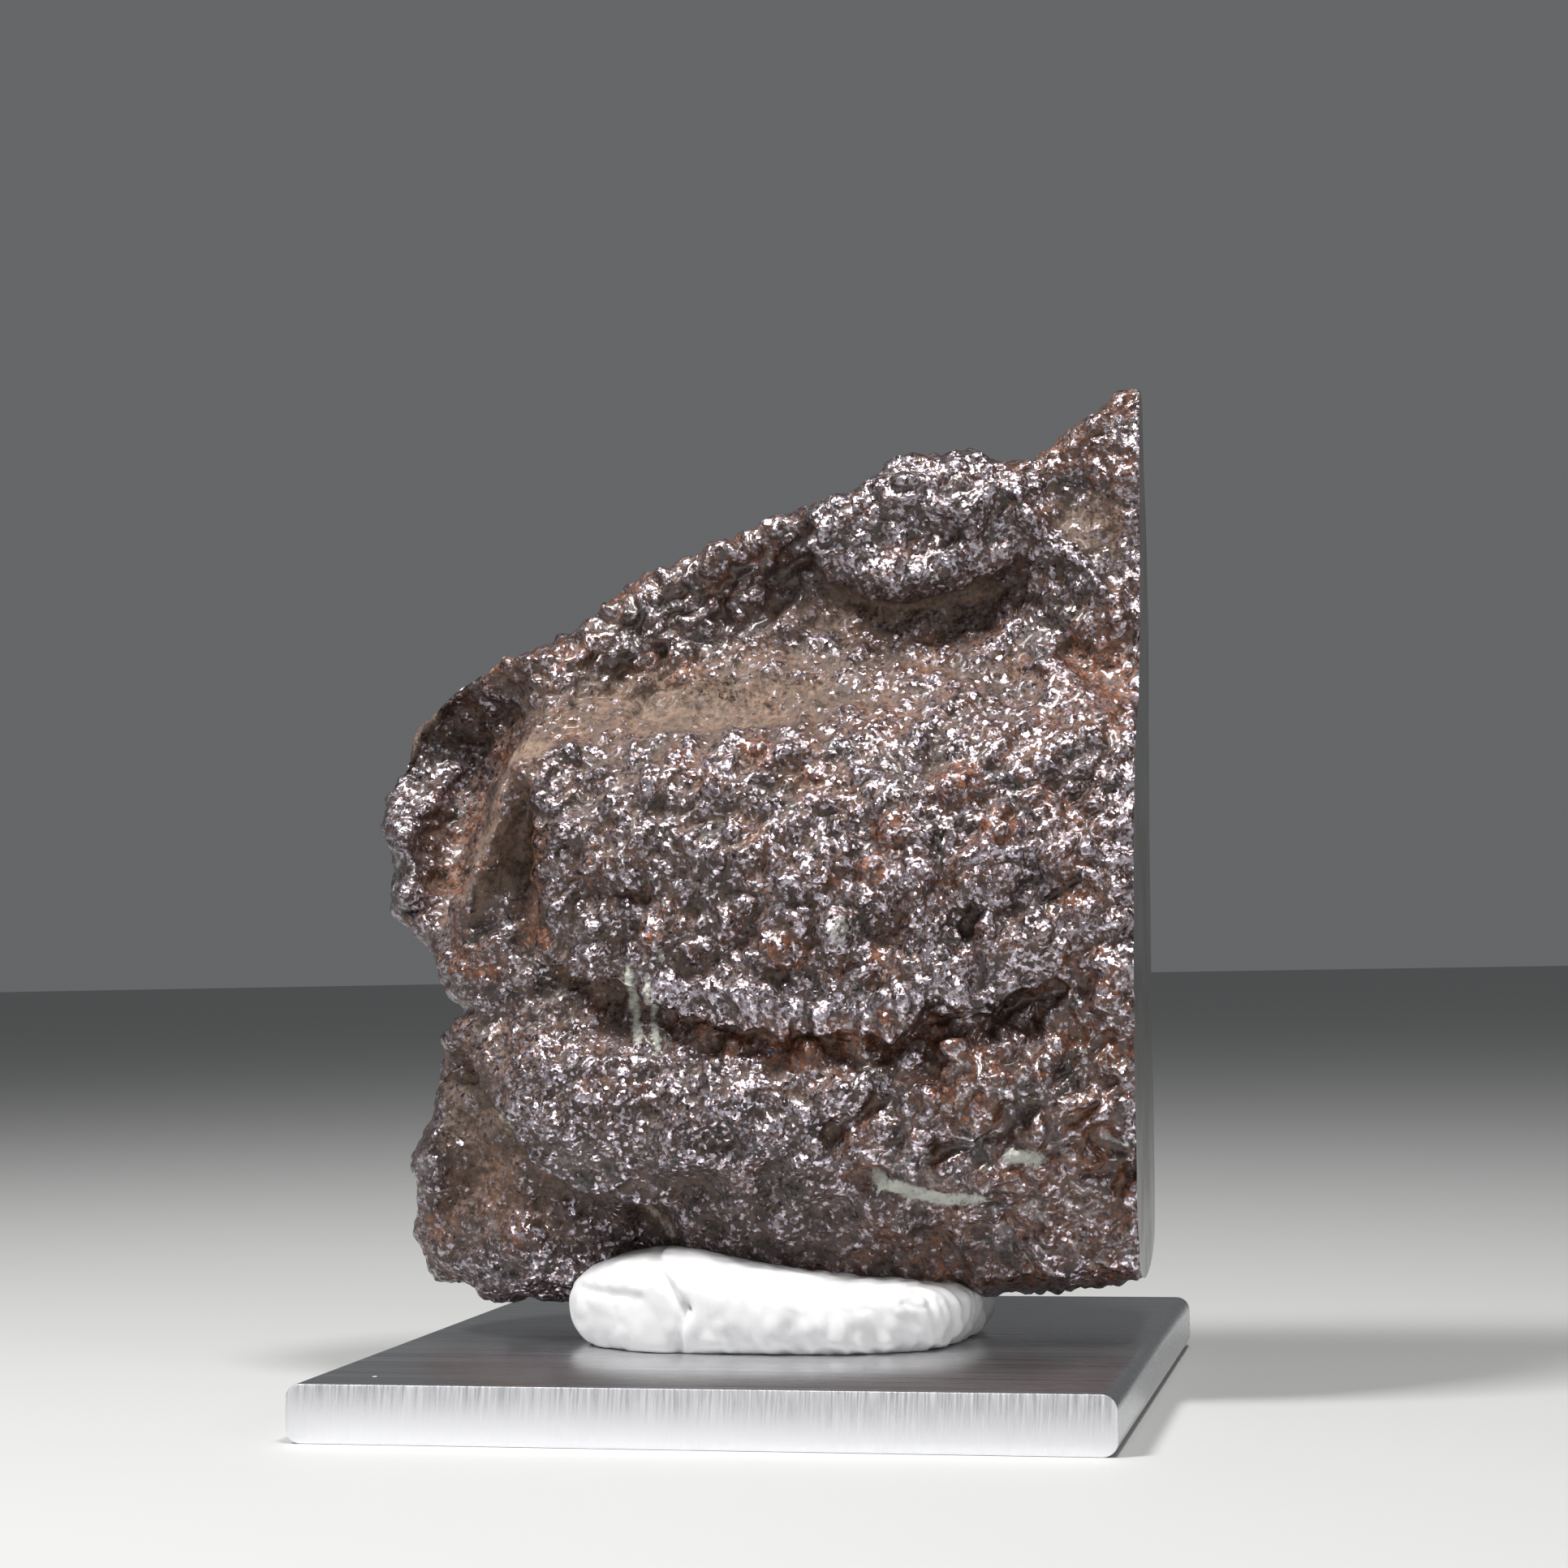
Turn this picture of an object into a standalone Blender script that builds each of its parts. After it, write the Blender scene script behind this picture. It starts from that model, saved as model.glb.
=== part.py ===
# Iron meteorite with one flat sawn side, pressed into a lump of white putty
# that stands on a small aluminium plate.
#
# Metres, +Z up. The origin is the middle of the plate's underside, and +X runs
# along the plate's front edge. Sizes below are millimetres.
#
# The stone has its own directions: across (left to right, +X turned by
# STONE_TURN), up (+Z) and deep (away from the front). Its front and back are
# described by how far they stand from its middle plane, as a smooth profile
# by height plus named swells, ridges and ledges.

import math

import bmesh
import bpy
import numpy as np
from mathutils import Matrix, Vector, noise

MM = 0.001

# Plate: a sawn length of flat bar, rounded along its two drawn edges
PLATE_SIDE = 42.0
PLATE_THICKNESS = 3.0
PLATE_EDGE_RADIUS = 0.78
PLATE_EDGE_STEPS = 4

# Stone
STONE_TURN = math.radians(2.0)
STONE_CELLS = (64, 14, 76)  # across, deep, up
STONE_KEEP = 0.26  # share of the triangles kept when the calmer areas are thinned out
CUT_PLANE = 20.2  # the sawn side's distance from the middle at height 0
CUT_LEAN = 0.02  # how far the sawn side leans outwards per mm of height
LEFT_ROUND = 2.2  # how far in from the left edge the front and back begin
BOTTOM_ROUND = 1.9
TOP_ROUND = 0.9

# Outline of the stone, seen from the front: (across, up)
LEFT_OUTLINE = (
    (-19.9, 6.2), (-20.6, 7.6), (-20.9, 9.8), (-20.7, 11.2), (-21.0, 12.9), (-20.3, 14.2),
    (-19.3, 17.2), (-18.4, 19.6), (-17.0, 21.1), (-17.9, 22.3), (-19.2, 24.2), (-20.2, 25.7),
    (-21.7, 27.1), (-21.9, 29.0), (-22.3, 31.6), (-21.8, 33.8), (-20.9, 35.4), (-20.3, 37.2),
)
TOP_OUTLINE = (
    (-20.3, 37.2), (-17.9, 39.5), (-15.1, 41.2), (-12.0, 42.2), (-9.7, 43.5), (-6.3, 45.8),
    (-3.9, 46.6), (-0.4, 48.2), (3.2, 49.2), (6.5, 50.6), (9.2, 51.9), (12.0, 52.0),
    (13.3, 51.3), (14.6, 51.2), (16.2, 51.8), (18.0, 53.1), (19.8, 54.4), (21.3, 54.8),
)
BOTTOM_OUTLINE = (
    (-19.9, 6.2), (-17.7, 6.0), (-17.0, 5.3), (-14.8, 5.0), (-11.7, 5.1), (-6.0, 4.8),
    (2.0, 4.7), (8.0, 5.1), (12.0, 5.4), (16.5, 5.8), (20.3, 6.2),
)

# How far the front and the back stand from the middle plane, by height
FRONT_BY_HEIGHT = (
    (4.0, 2.6), (6.0, 3.6), (9.0, 5.7), (12.0, 6.9), (16.0, 7.6), (21.0, 7.9), (27.0, 8.3),
    (32.0, 7.9), (35.0, 6.8), (38.0, 4.6), (42.0, 2.9), (48.0, 2.5), (55.0, 2.3),
)
BACK_BY_HEIGHT = (
    (4.0, 6.0), (6.0, 8.2), (9.0, 9.2), (14.0, 8.9), (21.0, 7.2), (30.0, 5.8), (38.0, 5.4),
    (43.0, 5.0), (48.0, 3.2), (52.0, 0.9), (55.0, 0.0),
)
# Share of that which is left towards the stone's left edge
FRONT_BY_WIDTH = ((-22.0, 0.42), (-17.0, 0.66), (-11.0, 0.92), (-4.0, 1.0), (21.0, 1.0))
BACK_BY_WIDTH = ((-22.0, 0.45), (-15.0, 0.78), (-5.0, 1.0), (12.0, 1.06), (21.0, 1.0))
# Where the rim lies between front and back, by height
RIM_BY_HEIGHT = ((4.0, 1.5), (12.0, 0.8), (30.0, -0.6), (46.0, -0.8), (55.0, -1.2))

# Rounded swells (rise above 0) and hollows (below 0) of the front:
# middle, half sizes, rise, turn in degrees
FRONT_SWELLS = {
    "belly, right": ((9.0, 27.0), (10.0, 6.0), 0.6, -12),
    "belly, upper left": ((-5.5, 31.5), (5.5, 3.6), 0.8, 20),
    "broad hollow under the flap": ((11.0, 41.4), (7.0, 3.0), -1.1, -8),
    "flap": ((8.6, 48.0), (4.4, 2.4), 1.3, 14),
    "hollow left of the flap": ((-0.5, 43.8), (4.2, 2.0), -0.9, 25),
    "dusty valley": ((-4.0, 38.4), (7.0, 1.5), -1.3, 2),
    "shoulder beside the cavity": ((-11.6, 37.4), (1.5, 3.0), 1.7, 4),
    "thumbprint, upper": ((-17.0, 36.4), (2.5, 3.3), -3.6, -38),
    "thumbprint, lower": ((-17.6, 31.0), (2.1, 4.4), -3.6, -8),
    "groove right of the fin": ((-12.7, 30.0), (1.0, 3.6), -1.6, 4),
    "dark slope under the cavity": ((-17.0, 24.2), (3.2, 2.0), 0.8, -30),
    "lower shelf": ((-3.5, 16.0), (9.5, 2.4), 1.1, 0),
    "lower shelf, left end": ((-11.5, 17.4), (3.0, 2.2), 1.2, -20),
    "furrowed corner": ((14.0, 17.0), (6.0, 4.5), 0.7, 15),
    "hollow under the ledge, right": ((14.6, 20.4), (2.6, 1.4), -0.9, 10),
    "black knob": ((-19.7, 13.4), (1.0, 1.9), 1.7, 0),
    "bottom lobe": ((-13.3, 7.6), (2.7, 1.6), 1.7, -10),
    "scoop above the putty": ((-5.5, 9.6), (4.5, 1.7), -0.8, 5),
    "scoop at the corner": ((12.0, 9.0), (6.0, 1.9), -0.7, 4),
    "tip": ((20.6, 51.5), (1.6, 3.0), 0.5, 0),
    "dimple beside the tip": ((17.4, 48.4), (1.8, 2.2), -0.8, 0),
}

# Raised lines (rise above 0) and grooves (below 0) of the front:
# points, half width, rise
FRONT_RIDGES = {
    "rim along the top": (((-17.6, 38.7), (-11.5, 41.5), (-5.8, 45.2), (0.0, 47.6)), 0.7, 0.7),
    "left rim of the cavity": (((-19.4, 37.3), (-20.6, 33.0), (-20.6, 29.8), (-19.9, 26.9)), 0.9, 1.9),
    "fin": (((-11.8, 34.9), (-13.3, 34.3), (-13.7, 31.9), (-14.6, 29.6), (-16.0, 27.3), (-17.4, 26.2)),
            0.95, 2.3),
    "flap, left end": (((3.4, 48.6), (3.9, 47.0), (4.7, 45.8)), 0.6, 0.8),
    "flap, lip": (((4.6, 46.1), (6.4, 45.4), (8.2, 45.0), (10.0, 45.3), (12.0, 46.0)), 0.6, 0.5),
    "right of the flap": (((14.4, 50.4), (14.9, 48.6), (16.2, 46.6), (18.3, 44.8), (19.8, 42.9),
                           (20.1, 41.0)), 0.8, 1.0),
    "edge of the broad hollow": (((14.8, 41.6), (16.3, 39.4), (17.4, 36.8)), 1.0, 0.6),
    "valley to the sawn side": (((16.2, 40.4), (18.0, 39.8), (19.8, 38.6), (21.4, 36.4)), 1.0, -0.8),
    "great ledge, lip": (((-10.4, 25.2), (-6.6, 23.9), (-3.0, 22.8), (1.5, 21.7), (5.6, 21.4), (9.8, 22.4),
                          (14.0, 23.6)), 0.7, 0.5),
}

# One-sided drops of the front, on the right-hand side of the line when it is
# followed: points, drop, how soon it is reached, how far it takes to recover
FRONT_LEDGES = {
    "flap": (((3.2, 47.8), (3.6, 46.6), (4.5, 45.5), (6.2, 44.8), (8.0, 44.4), (9.8, 44.6), (11.6, 45.1),
              (13.2, 45.8), (14.6, 46.8)), 2.3, 0.5, 2.8),
    "great ledge": (((-12.4, 26.4), (-11.2, 25.1), (-9.6, 24.2), (-7.8, 23.5), (-6.2, 23.1), (-3.4, 22.2),
                     (-1.6, 21.3), (1.5, 20.9), (4.1, 20.6), (6.3, 20.6), (8.6, 21.1), (11.4, 22.0),
                     (14.5, 22.8), (16.4, 23.2), (18.2, 22.2)), 2.3, 0.6, 2.6),
    "edge of the lower shelf": (((-16.2, 20.6), (-15.2, 19.0), (-14.5, 17.2), (-12.9, 15.9), (-12.5, 14.6),
                                 (-11.6, 12.8), (-10.2, 12.2), (-8.4, 11.5), (-6.2, 11.0), (-4.2, 11.0)),
                                2.6, 0.6, 9.0),
}

# Fields of wavy lumps on the front: middle, half sizes, spacing, stretch,
# turn of the long axis in degrees, height
FRONT_FIELDS = {
    "diagonal furrows of the lower corner": ((13.0, 16.5), (8.5, 5.5), 2.0, 2.0, 52, 2.2),
    "upright furrows of the belly": ((12.5, 27.0), (7.5, 7.0), 1.8, 2.0, 80, 1.3),
    "lumps of the belly, left": ((-3.0, 29.5), (9.5, 7.5), 1.9, 1.3, 30, 1.0),
    "bumps under the top rim": ((-3.5, 43.0), (9.5, 3.0), 1.5, 1.4, 60, 0.9),
    "lumps of the lower shelf": ((-4.0, 15.0), (11.0, 4.5), 1.8, 1.6, 0, 0.7),
    "lumps of the flap": ((9.0, 47.6), (6.0, 3.4), 1.4, 1.6, 15, 0.6),
}

# Thumbprints, swells and a long ledge of the back, seen from the front
BACK_SWELLS = {
    "thumbprint, top": ((7.0, 43.0), (4.2, 2.6), -1.3, 20),
    "thumbprint, right": ((14.5, 34.5), (3.4, 4.4), -1.5, -10),
    "thumbprint, middle": ((2.0, 33.0), (5.4, 3.4), -1.7, 15),
    "thumbprint, left": ((-10.5, 33.5), (3.6, 4.6), -1.5, 0),
    "thumbprint, low left": ((-9.0, 19.0), (4.8, 3.6), -1.6, -20),
    "thumbprint, low middle": ((3.0, 19.5), (4.0, 4.6), -1.5, 10),
    "thumbprint, low right": ((14.0, 18.5), (4.4, 3.8), -1.4, 25),
    "scoop above the putty": ((3.0, 9.0), (6.5, 1.9), -0.9, 0),
    "swell, left": ((-15.5, 26.0), (3.0, 3.6), 1.0, 0),
    "swell, right": ((9.0, 27.0), (3.0, 2.6), 0.8, 0),
    "swell, low": ((-3.0, 12.0), (4.0, 2.4), 0.7, 0),
}
BACK_RIDGES = {
    "saddle between thumbprints": (((-4.5, 38.5), (-4.0, 33.0), (-2.5, 26.5), (-3.0, 18.0)), 1.0, 0.8),
    "rim along the top": (((-16.0, 39.5), (-8.0, 43.4), (0.0, 47.2), (8.0, 50.4)), 0.8, 0.5),
}
BACK_LEDGES = {
    "long ledge": (((-17.5, 27.5), (-10.0, 26.2), (-2.0, 25.4), (6.0, 24.0), (12.0, 24.6)), 1.3, 1.0, 3.4),
}
BACK_FIELDS = {
    "lumps, upper": ((0.0, 36.0), (16.0, 10.0), 2.0, 1.4, 25, 0.7),
    "lumps, lower": ((2.0, 16.0), (16.0, 9.0), 2.0, 1.6, -15, 0.8),
}

# Small lumps all over, kept off the sawn side: size, height
LUMPS = ((3.2, 0.4), (1.6, 0.3))
LUMP_SEED = 11.0

# Putty: a hand-pressed lump with full round sides, higher at its front left
PUTTY_MIDDLE = (0.2, 0.2)
PUTTY_HALF = (11.3, 9.0)
PUTTY_CELLS = (26, 20, 8)
PUTTY_FULLNESS = 3.0  # 2 is an ellipsoid, more is boxier
PUTTY_FOOT_SPREAD = 1.6  # how much deeper the lower half would go if the plate didn't flatten it
PUTTY_TOP_BY_WIDTH = (
    (-11.2, 7.5), (-8.0, 7.8), (-4.4, 7.9), (-1.0, 7.4), (3.0, 6.8), (6.4, 6.6), (11.6, 6.8),
)
GAP = 0.3  # kept between pieces that touch


def smooth_curve(knots, x):
    """A smooth line through the knots, read at x."""
    xs, ys = np.array(knots, float).T
    slopes = np.gradient(ys, xs)
    i = np.clip(np.searchsorted(xs, x) - 1, 0, len(xs) - 2)
    span = xs[i + 1] - xs[i]
    t = np.clip((x - xs[i]) / span, 0.0, 1.0)
    start = (2 * t**3 - 3 * t**2 + 1) * ys[i] + (t**3 - 2 * t**2 + t) * span * slopes[i]
    end = (3 * t**2 - 2 * t**3) * ys[i + 1] + (t**3 - t**2) * span * slopes[i + 1]
    return start + end


def outline_at(outline, t):
    """Points of an outline at shares t of its length, as two arrays."""
    points = np.array(outline, float)
    lengths = np.hypot(*np.diff(points, axis=0).T)
    travel = np.concatenate(([0.0], np.cumsum(lengths))) / lengths.sum()
    across = smooth_curve(np.column_stack((travel, points[:, 0])), t)
    up = smooth_curve(np.column_stack((travel, points[:, 1])), t)
    return across, up


def from_line(points, across, up):
    """Distance from a line, its side (1 left, -1 right) and how far along it."""
    nearest = np.full(across.shape, np.inf)
    side = np.zeros(across.shape)
    travel = np.zeros(across.shape)
    for i, ((a0, u0), (a1, u1)) in enumerate(zip(points, points[1:])):
        da, du = a1 - a0, u1 - u0
        t = np.clip(((across - a0) * da + (up - u0) * du) / (da * da + du * du), 0.0, 1.0)
        gap_a = across - a0 - t * da
        gap_u = up - u0 - t * du
        gap = np.hypot(gap_a, gap_u)
        closer = gap < nearest
        nearest = np.where(closer, gap, nearest)
        side = np.where(closer, np.sign(da * gap_u - du * gap_a), side)
        travel = np.where(closer, (i + t) / (len(points) - 1), travel)
    return nearest, side, travel


def end_fade(travel):
    """1 along a line, falling to 0 at both its ends."""
    return np.clip(np.minimum(travel, 1.0 - travel) / 0.12, 0.0, 1.0)


def swell(form, across, up):
    (middle_a, middle_u), (half_a, half_u), rise, turn = form
    cos, sin = math.cos(math.radians(turn)), math.sin(math.radians(turn))
    da, du = across - middle_a, up - middle_u
    far = ((da * cos + du * sin) / half_a) ** 2 + ((du * cos - da * sin) / half_u) ** 2
    return rise * np.exp(-0.5 * far**1.25)


def ridge(form, across, up):
    points, half_width, rise = form
    gap, _, travel = from_line(points, across, up)
    return rise * np.exp(-((gap / half_width) ** 2)) * end_fade(travel)


def ledge(form, across, up):
    points, drop, run, recovery = form
    gap, side, travel = from_line(points, across, up)
    below = np.where(side < 0, gap, 0.0)
    fall = 1.0 - np.exp(-((below / run) ** 2))
    return -drop * fall * np.exp(-below / recovery) * end_fade(travel)


def field(form, across, up):
    """Wavy lumps that are longer one way, fading out at the field's edge."""
    middle, half, spacing, stretch, turn, height = form
    cos, sin = math.cos(math.radians(turn)), math.sin(math.radians(turn))
    long_way = (across * cos + up * sin) / (spacing * stretch)
    short_way = (up * cos - across * sin) / spacing
    lumps = [noise.noise(Vector((x, y, LUMP_SEED))) for x, y in zip(long_way, short_way)]
    return np.array(lumps) * swell((middle, half, height, 0), across, up)


def relief(across, up, swells, ridges, ledges, fields):
    total = np.zeros(across.shape)
    for shape, forms in ((swell, swells), (ridge, ridges), (ledge, ledges), (field, fields)):
        for form in forms.values():
            total += shape(form, across, up)
    return total


def front_depth(across, up):
    plain = smooth_curve(FRONT_BY_HEIGHT, up) * smooth_curve(FRONT_BY_WIDTH, across)
    return plain + relief(
        across, up, FRONT_SWELLS, FRONT_RIDGES, FRONT_LEDGES, FRONT_FIELDS
    )


def back_depth(across, up):
    plain = smooth_curve(BACK_BY_HEIGHT, up) * smooth_curve(BACK_BY_WIDTH, across)
    return plain + relief(
        across, up, BACK_SWELLS, BACK_RIDGES, BACK_LEDGES, BACK_FIELDS
    )


def block_lattice(cells):
    """A closed box of cells with its corners at -1 and 1."""
    lattice = bmesh.new()
    bmesh.ops.create_cube(lattice, size=2.0)
    for axis, count in enumerate(cells):
        others = [i for i in range(3) if i != axis]
        parallel = []
        for edge in lattice.edges:
            run = edge.verts[1].co - edge.verts[0].co
            if abs(run[others[0]]) < 1e-6 and abs(run[others[1]]) < 1e-6:
                parallel.append(edge)
        bmesh.ops.subdivide_edges(lattice, edges=parallel, cuts=count - 1)
    return lattice


def lattice_points(lattice):
    return np.array([vert.co for vert in lattice.verts])


def place(lattice, points):
    for vert, point in zip(lattice.verts, points):
        vert.co = Vector(point) * MM


def stone_shape(lattice):
    """Turns a box lattice into the stone: across, deep, up in mm."""
    box = lattice_points(lattice)
    s = (box[:, 0] + 1.0) / 2.0
    t = (box[:, 2] + 1.0) / 2.0
    angle = np.abs(box[:, 1]) * math.pi / 2.0
    inset = 1.0 - np.cos(angle)

    # The outline's four sides, blended across the face
    left_a, left_u = outline_at(LEFT_OUTLINE, t)
    low_a, low_u = outline_at(BOTTOM_OUTLINE, s)
    high_a, high_u = outline_at(TOP_OUTLINE, s)
    cut_low, cut_high = BOTTOM_OUTLINE[-1][1], TOP_OUTLINE[-1][1]
    right_u = cut_low + (cut_high - cut_low) * t
    right_a = CUT_PLANE + CUT_LEAN * right_u
    corners = (LEFT_OUTLINE[0], BOTTOM_OUTLINE[-1], TOP_OUTLINE[0], TOP_OUTLINE[-1])
    weights = ((1 - s) * (1 - t), s * (1 - t), (1 - s) * t, s * t)
    across = (1 - s) * left_a + s * right_a + (1 - t) * low_a + t * high_a
    up = (1 - s) * left_u + s * right_u + (1 - t) * low_u + t * high_u
    for (corner_a, corner_u), weight in zip(corners, weights):
        across -= corner_a * weight
        up -= corner_u * weight

    # Front and back begin a little inside the outline, and round over to it
    face_a = across + LEFT_ROUND * (1 - s)
    face_u = up + BOTTOM_ROUND * (1 - t) - TOP_ROUND * t
    across += LEFT_ROUND * (1 - s) * inset
    up += (BOTTOM_ROUND * (1 - t) - TOP_ROUND * t) * inset
    on_cut = s > 1.0 - 1e-6
    across = np.where(on_cut, CUT_PLANE + CUT_LEAN * up, across)
    rim = smooth_curve(RIM_BY_HEIGHT, face_u)
    face = np.where(box[:, 1] < 0, -front_depth(face_a, face_u), back_depth(face_a, face_u))
    deep = rim + (face - rim) * np.sin(angle)
    return np.column_stack((across, deep, up)), on_cut


def add_lumps(lattice, points, on_cut):
    """Moves each point along its normal by a few sizes of noise."""
    place(lattice, points)
    lattice.normal_update()
    normals = np.array([vert.normal for vert in lattice.verts])
    normals[on_cut] = 0.0
    lift = np.zeros(len(points))
    for size, height in LUMPS:
        for i, point in enumerate(points):
            lift[i] += height * noise.noise(Vector(point / size) + Vector((LUMP_SEED, size, 0.0)))
    shifted = points + normals * lift[:, None]
    # Points beside the sawn side stay behind its plane
    limit = CUT_PLANE + CUT_LEAN * shifted[:, 2]
    shifted[:, 0] = np.minimum(shifted[:, 0], limit)
    return shifted


def finish_mesh(name, lattice, material):
    bmesh.ops.recalc_face_normals(lattice, faces=lattice.faces[:])
    mesh = bpy.data.meshes.new(name)
    lattice.to_mesh(mesh)
    lattice.free()
    mesh.materials.append(material)
    mesh.shade_smooth()
    piece = bpy.data.objects.new(name, mesh)
    bpy.context.collection.objects.link(piece)
    return piece


def make_material(name, colour, roughness, metallic):
    material = bpy.data.materials.new(name)
    material.use_nodes = True
    shader = material.node_tree.nodes["Principled BSDF"]
    shader.inputs["Base Color"].default_value = (*colour, 1.0)
    shader.inputs["Roughness"].default_value = roughness
    shader.inputs["Metallic"].default_value = metallic
    return material


def make_stone():
    lattice = block_lattice(STONE_CELLS)
    points, on_cut = stone_shape(lattice)
    place(lattice, add_lumps(lattice, points, on_cut))
    material = make_material("fusion crust", (0.09, 0.055, 0.04), 0.35, 0.6)
    stone = finish_mesh("meteorite", lattice, material)
    stone.rotation_euler.z = STONE_TURN
    thin = stone.modifiers.new("thin out calm areas", "DECIMATE")
    thin.ratio = STONE_KEEP
    return stone


def putty_shape(lattice):
    """A full, rounded pad with a flat foot on the plate."""
    box = lattice_points(lattice)
    out = (np.abs(box) ** PUTTY_FULLNESS).sum(axis=1) ** (1.0 / PUTTY_FULLNESS)
    round_box = box / out[:, None]
    x = PUTTY_MIDDLE[0] + round_box[:, 0] * PUTTY_HALF[0]
    y = PUTTY_MIDDLE[1] + round_box[:, 1] * PUTTY_HALF[1]
    foot = PLATE_THICKNESS + GAP
    middle = (foot + smooth_curve(PUTTY_TOP_BY_WIDTH, x)) / 2.0
    half = middle - foot
    reach = np.where(round_box[:, 2] < 0, PUTTY_FOOT_SPREAD, 1.0)
    z = np.maximum(middle + round_box[:, 2] * half * reach, foot)
    return np.column_stack((x, y, z))


def make_putty(stone):
    lattice = block_lattice(PUTTY_CELLS)
    place(lattice, putty_shape(lattice))
    material = make_material("white putty", (0.86, 0.86, 0.88), 0.6, 0.0)
    putty = finish_mesh("putty", lattice, material)

    # The stone's underside, grown by the gap, is pressed out of the putty
    cutter = stone.copy()
    cutter.data = stone.data.copy()
    cutter.name = "stone_cutter"
    bpy.context.collection.objects.link(cutter)
    grow = cutter.modifiers.new("grow by the gap", "DISPLACE")
    grow.mid_level = 0.0
    grow.strength = (GAP + 0.05) * MM
    cutter.hide_render = True
    cutter.display_type = "WIRE"
    press = putty.modifiers.new("press the stone in", "BOOLEAN")
    press.operation = "DIFFERENCE"
    press.object = cutter
    return putty


def make_plate():
    bar = bmesh.new()
    bmesh.ops.create_cube(bar, size=1.0)
    size = Vector((PLATE_SIDE, PLATE_SIDE, PLATE_THICKNESS)) * MM
    bmesh.ops.transform(bar, matrix=Matrix.Diagonal(size).to_4x4(), verts=bar.verts)
    bmesh.ops.translate(bar, vec=(0, 0, size.z / 2), verts=bar.verts)
    drawn = [e for e in bar.edges if abs(e.verts[0].co.y - e.verts[1].co.y) > size.y / 2]
    bmesh.ops.bevel(
        bar, geom=drawn, offset=PLATE_EDGE_RADIUS * MM, segments=PLATE_EDGE_STEPS,
        affect="EDGES", profile=0.5, material=-1,
    )
    material = make_material("aluminium", (0.62, 0.63, 0.65), 0.38, 1.0)
    plate = finish_mesh("plate", bar, material)
    plate.data.set_sharp_from_angle(angle=math.radians(30))
    return plate


def main():
    for old in list(bpy.data.objects):
        bpy.data.objects.remove(old)
    make_plate()
    make_putty(make_stone())


main()
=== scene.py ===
# Iron meteorite with one sawn side, held up by white putty on a small aluminium
# plate. Metres, +Z up. Sizes in the dictionaries are millimetres and become
# metres with mm. The stone has its own directions: across (left to right), up
# and deep (away from the ledged front), turned a little about Z.
import math

import bmesh
import bpy
import numpy as np
from mathutils import Matrix, Vector, noise


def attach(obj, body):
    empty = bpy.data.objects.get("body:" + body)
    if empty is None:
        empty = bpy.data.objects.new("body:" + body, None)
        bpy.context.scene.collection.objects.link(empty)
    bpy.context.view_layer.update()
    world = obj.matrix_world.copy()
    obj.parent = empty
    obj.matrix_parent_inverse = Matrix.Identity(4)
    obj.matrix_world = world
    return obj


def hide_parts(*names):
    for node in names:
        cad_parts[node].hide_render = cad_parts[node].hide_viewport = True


mm = 0.001
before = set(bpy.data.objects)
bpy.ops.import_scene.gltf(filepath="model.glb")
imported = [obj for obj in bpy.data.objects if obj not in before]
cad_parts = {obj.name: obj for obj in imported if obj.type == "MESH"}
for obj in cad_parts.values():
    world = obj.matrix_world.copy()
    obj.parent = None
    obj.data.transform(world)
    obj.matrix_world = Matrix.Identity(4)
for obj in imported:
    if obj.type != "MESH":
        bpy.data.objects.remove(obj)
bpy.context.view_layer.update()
print("frame loaded:", sorted(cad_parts))


# Node helpers: a value is a number, a colour, or the socket that it comes from
def fill(tree, socket, value):
    if isinstance(value, bpy.types.NodeSocket):
        tree.links.new(value, socket)
    elif isinstance(value, tuple) and len(value) == 3 and socket.type == "RGBA":
        socket.default_value = (*value, 1.0)
    else:
        socket.default_value = value


def put(tree, kind, inputs=None, **settings):
    made = tree.nodes.new(kind)
    for name, value in settings.items():
        setattr(made, name, value)
    for name, value in (inputs or {}).items():
        fill(tree, made.inputs[name], value)
    return made


def calc(tree, operation, a, b=0.0, clamp=False):
    return put(tree, "ShaderNodeMath", {0: a, 1: b}, operation=operation, use_clamp=clamp).outputs[0]


def vectorCalc(tree, operation, a, b=(0.0, 0.0, 0.0)):
    return put(tree, "ShaderNodeVectorMath", {0: a, 1: b}, operation=operation).outputs[0]


def scaled(tree, vector, amount):
    return put(tree, "ShaderNodeVectorMath", {0: vector, "Scale": amount}, operation="SCALE").outputs[0]


def mixColour(tree, amount, a, b):
    return put(tree, "ShaderNodeMix", {0: amount, 6: a, 7: b}, data_type="RGBA").outputs[2]


def mixValue(tree, amount, a, b):
    return put(tree, "ShaderNodeMix", {0: amount, 2: a, 3: b}, data_type="FLOAT").outputs[0]


def span(tree, value, low, high, outLow=0.0, outHigh=1.0):
    inputs = {"Value": value, "From Min": low, "From Max": high, "To Min": outLow, "To Max": outHigh}
    return put(tree, "ShaderNodeMapRange", inputs, clamp=True).outputs["Result"]


def cloud(tree, where, size, detail=2.0, roughness=0.5, distortion=0.0):
    inputs = {"Vector": where, "Scale": 1.0 / (size * mm), "Detail": detail,
              "Roughness": roughness, "Distortion": distortion}
    return put(tree, "ShaderNodeTexNoise", inputs).outputs["Fac"]


def bumped(tree, height, strength, depth):
    inputs = {"Strength": strength, "Distance": depth * mm, "Height": height}
    return put(tree, "ShaderNodeBump", inputs).outputs["Normal"]


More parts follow.
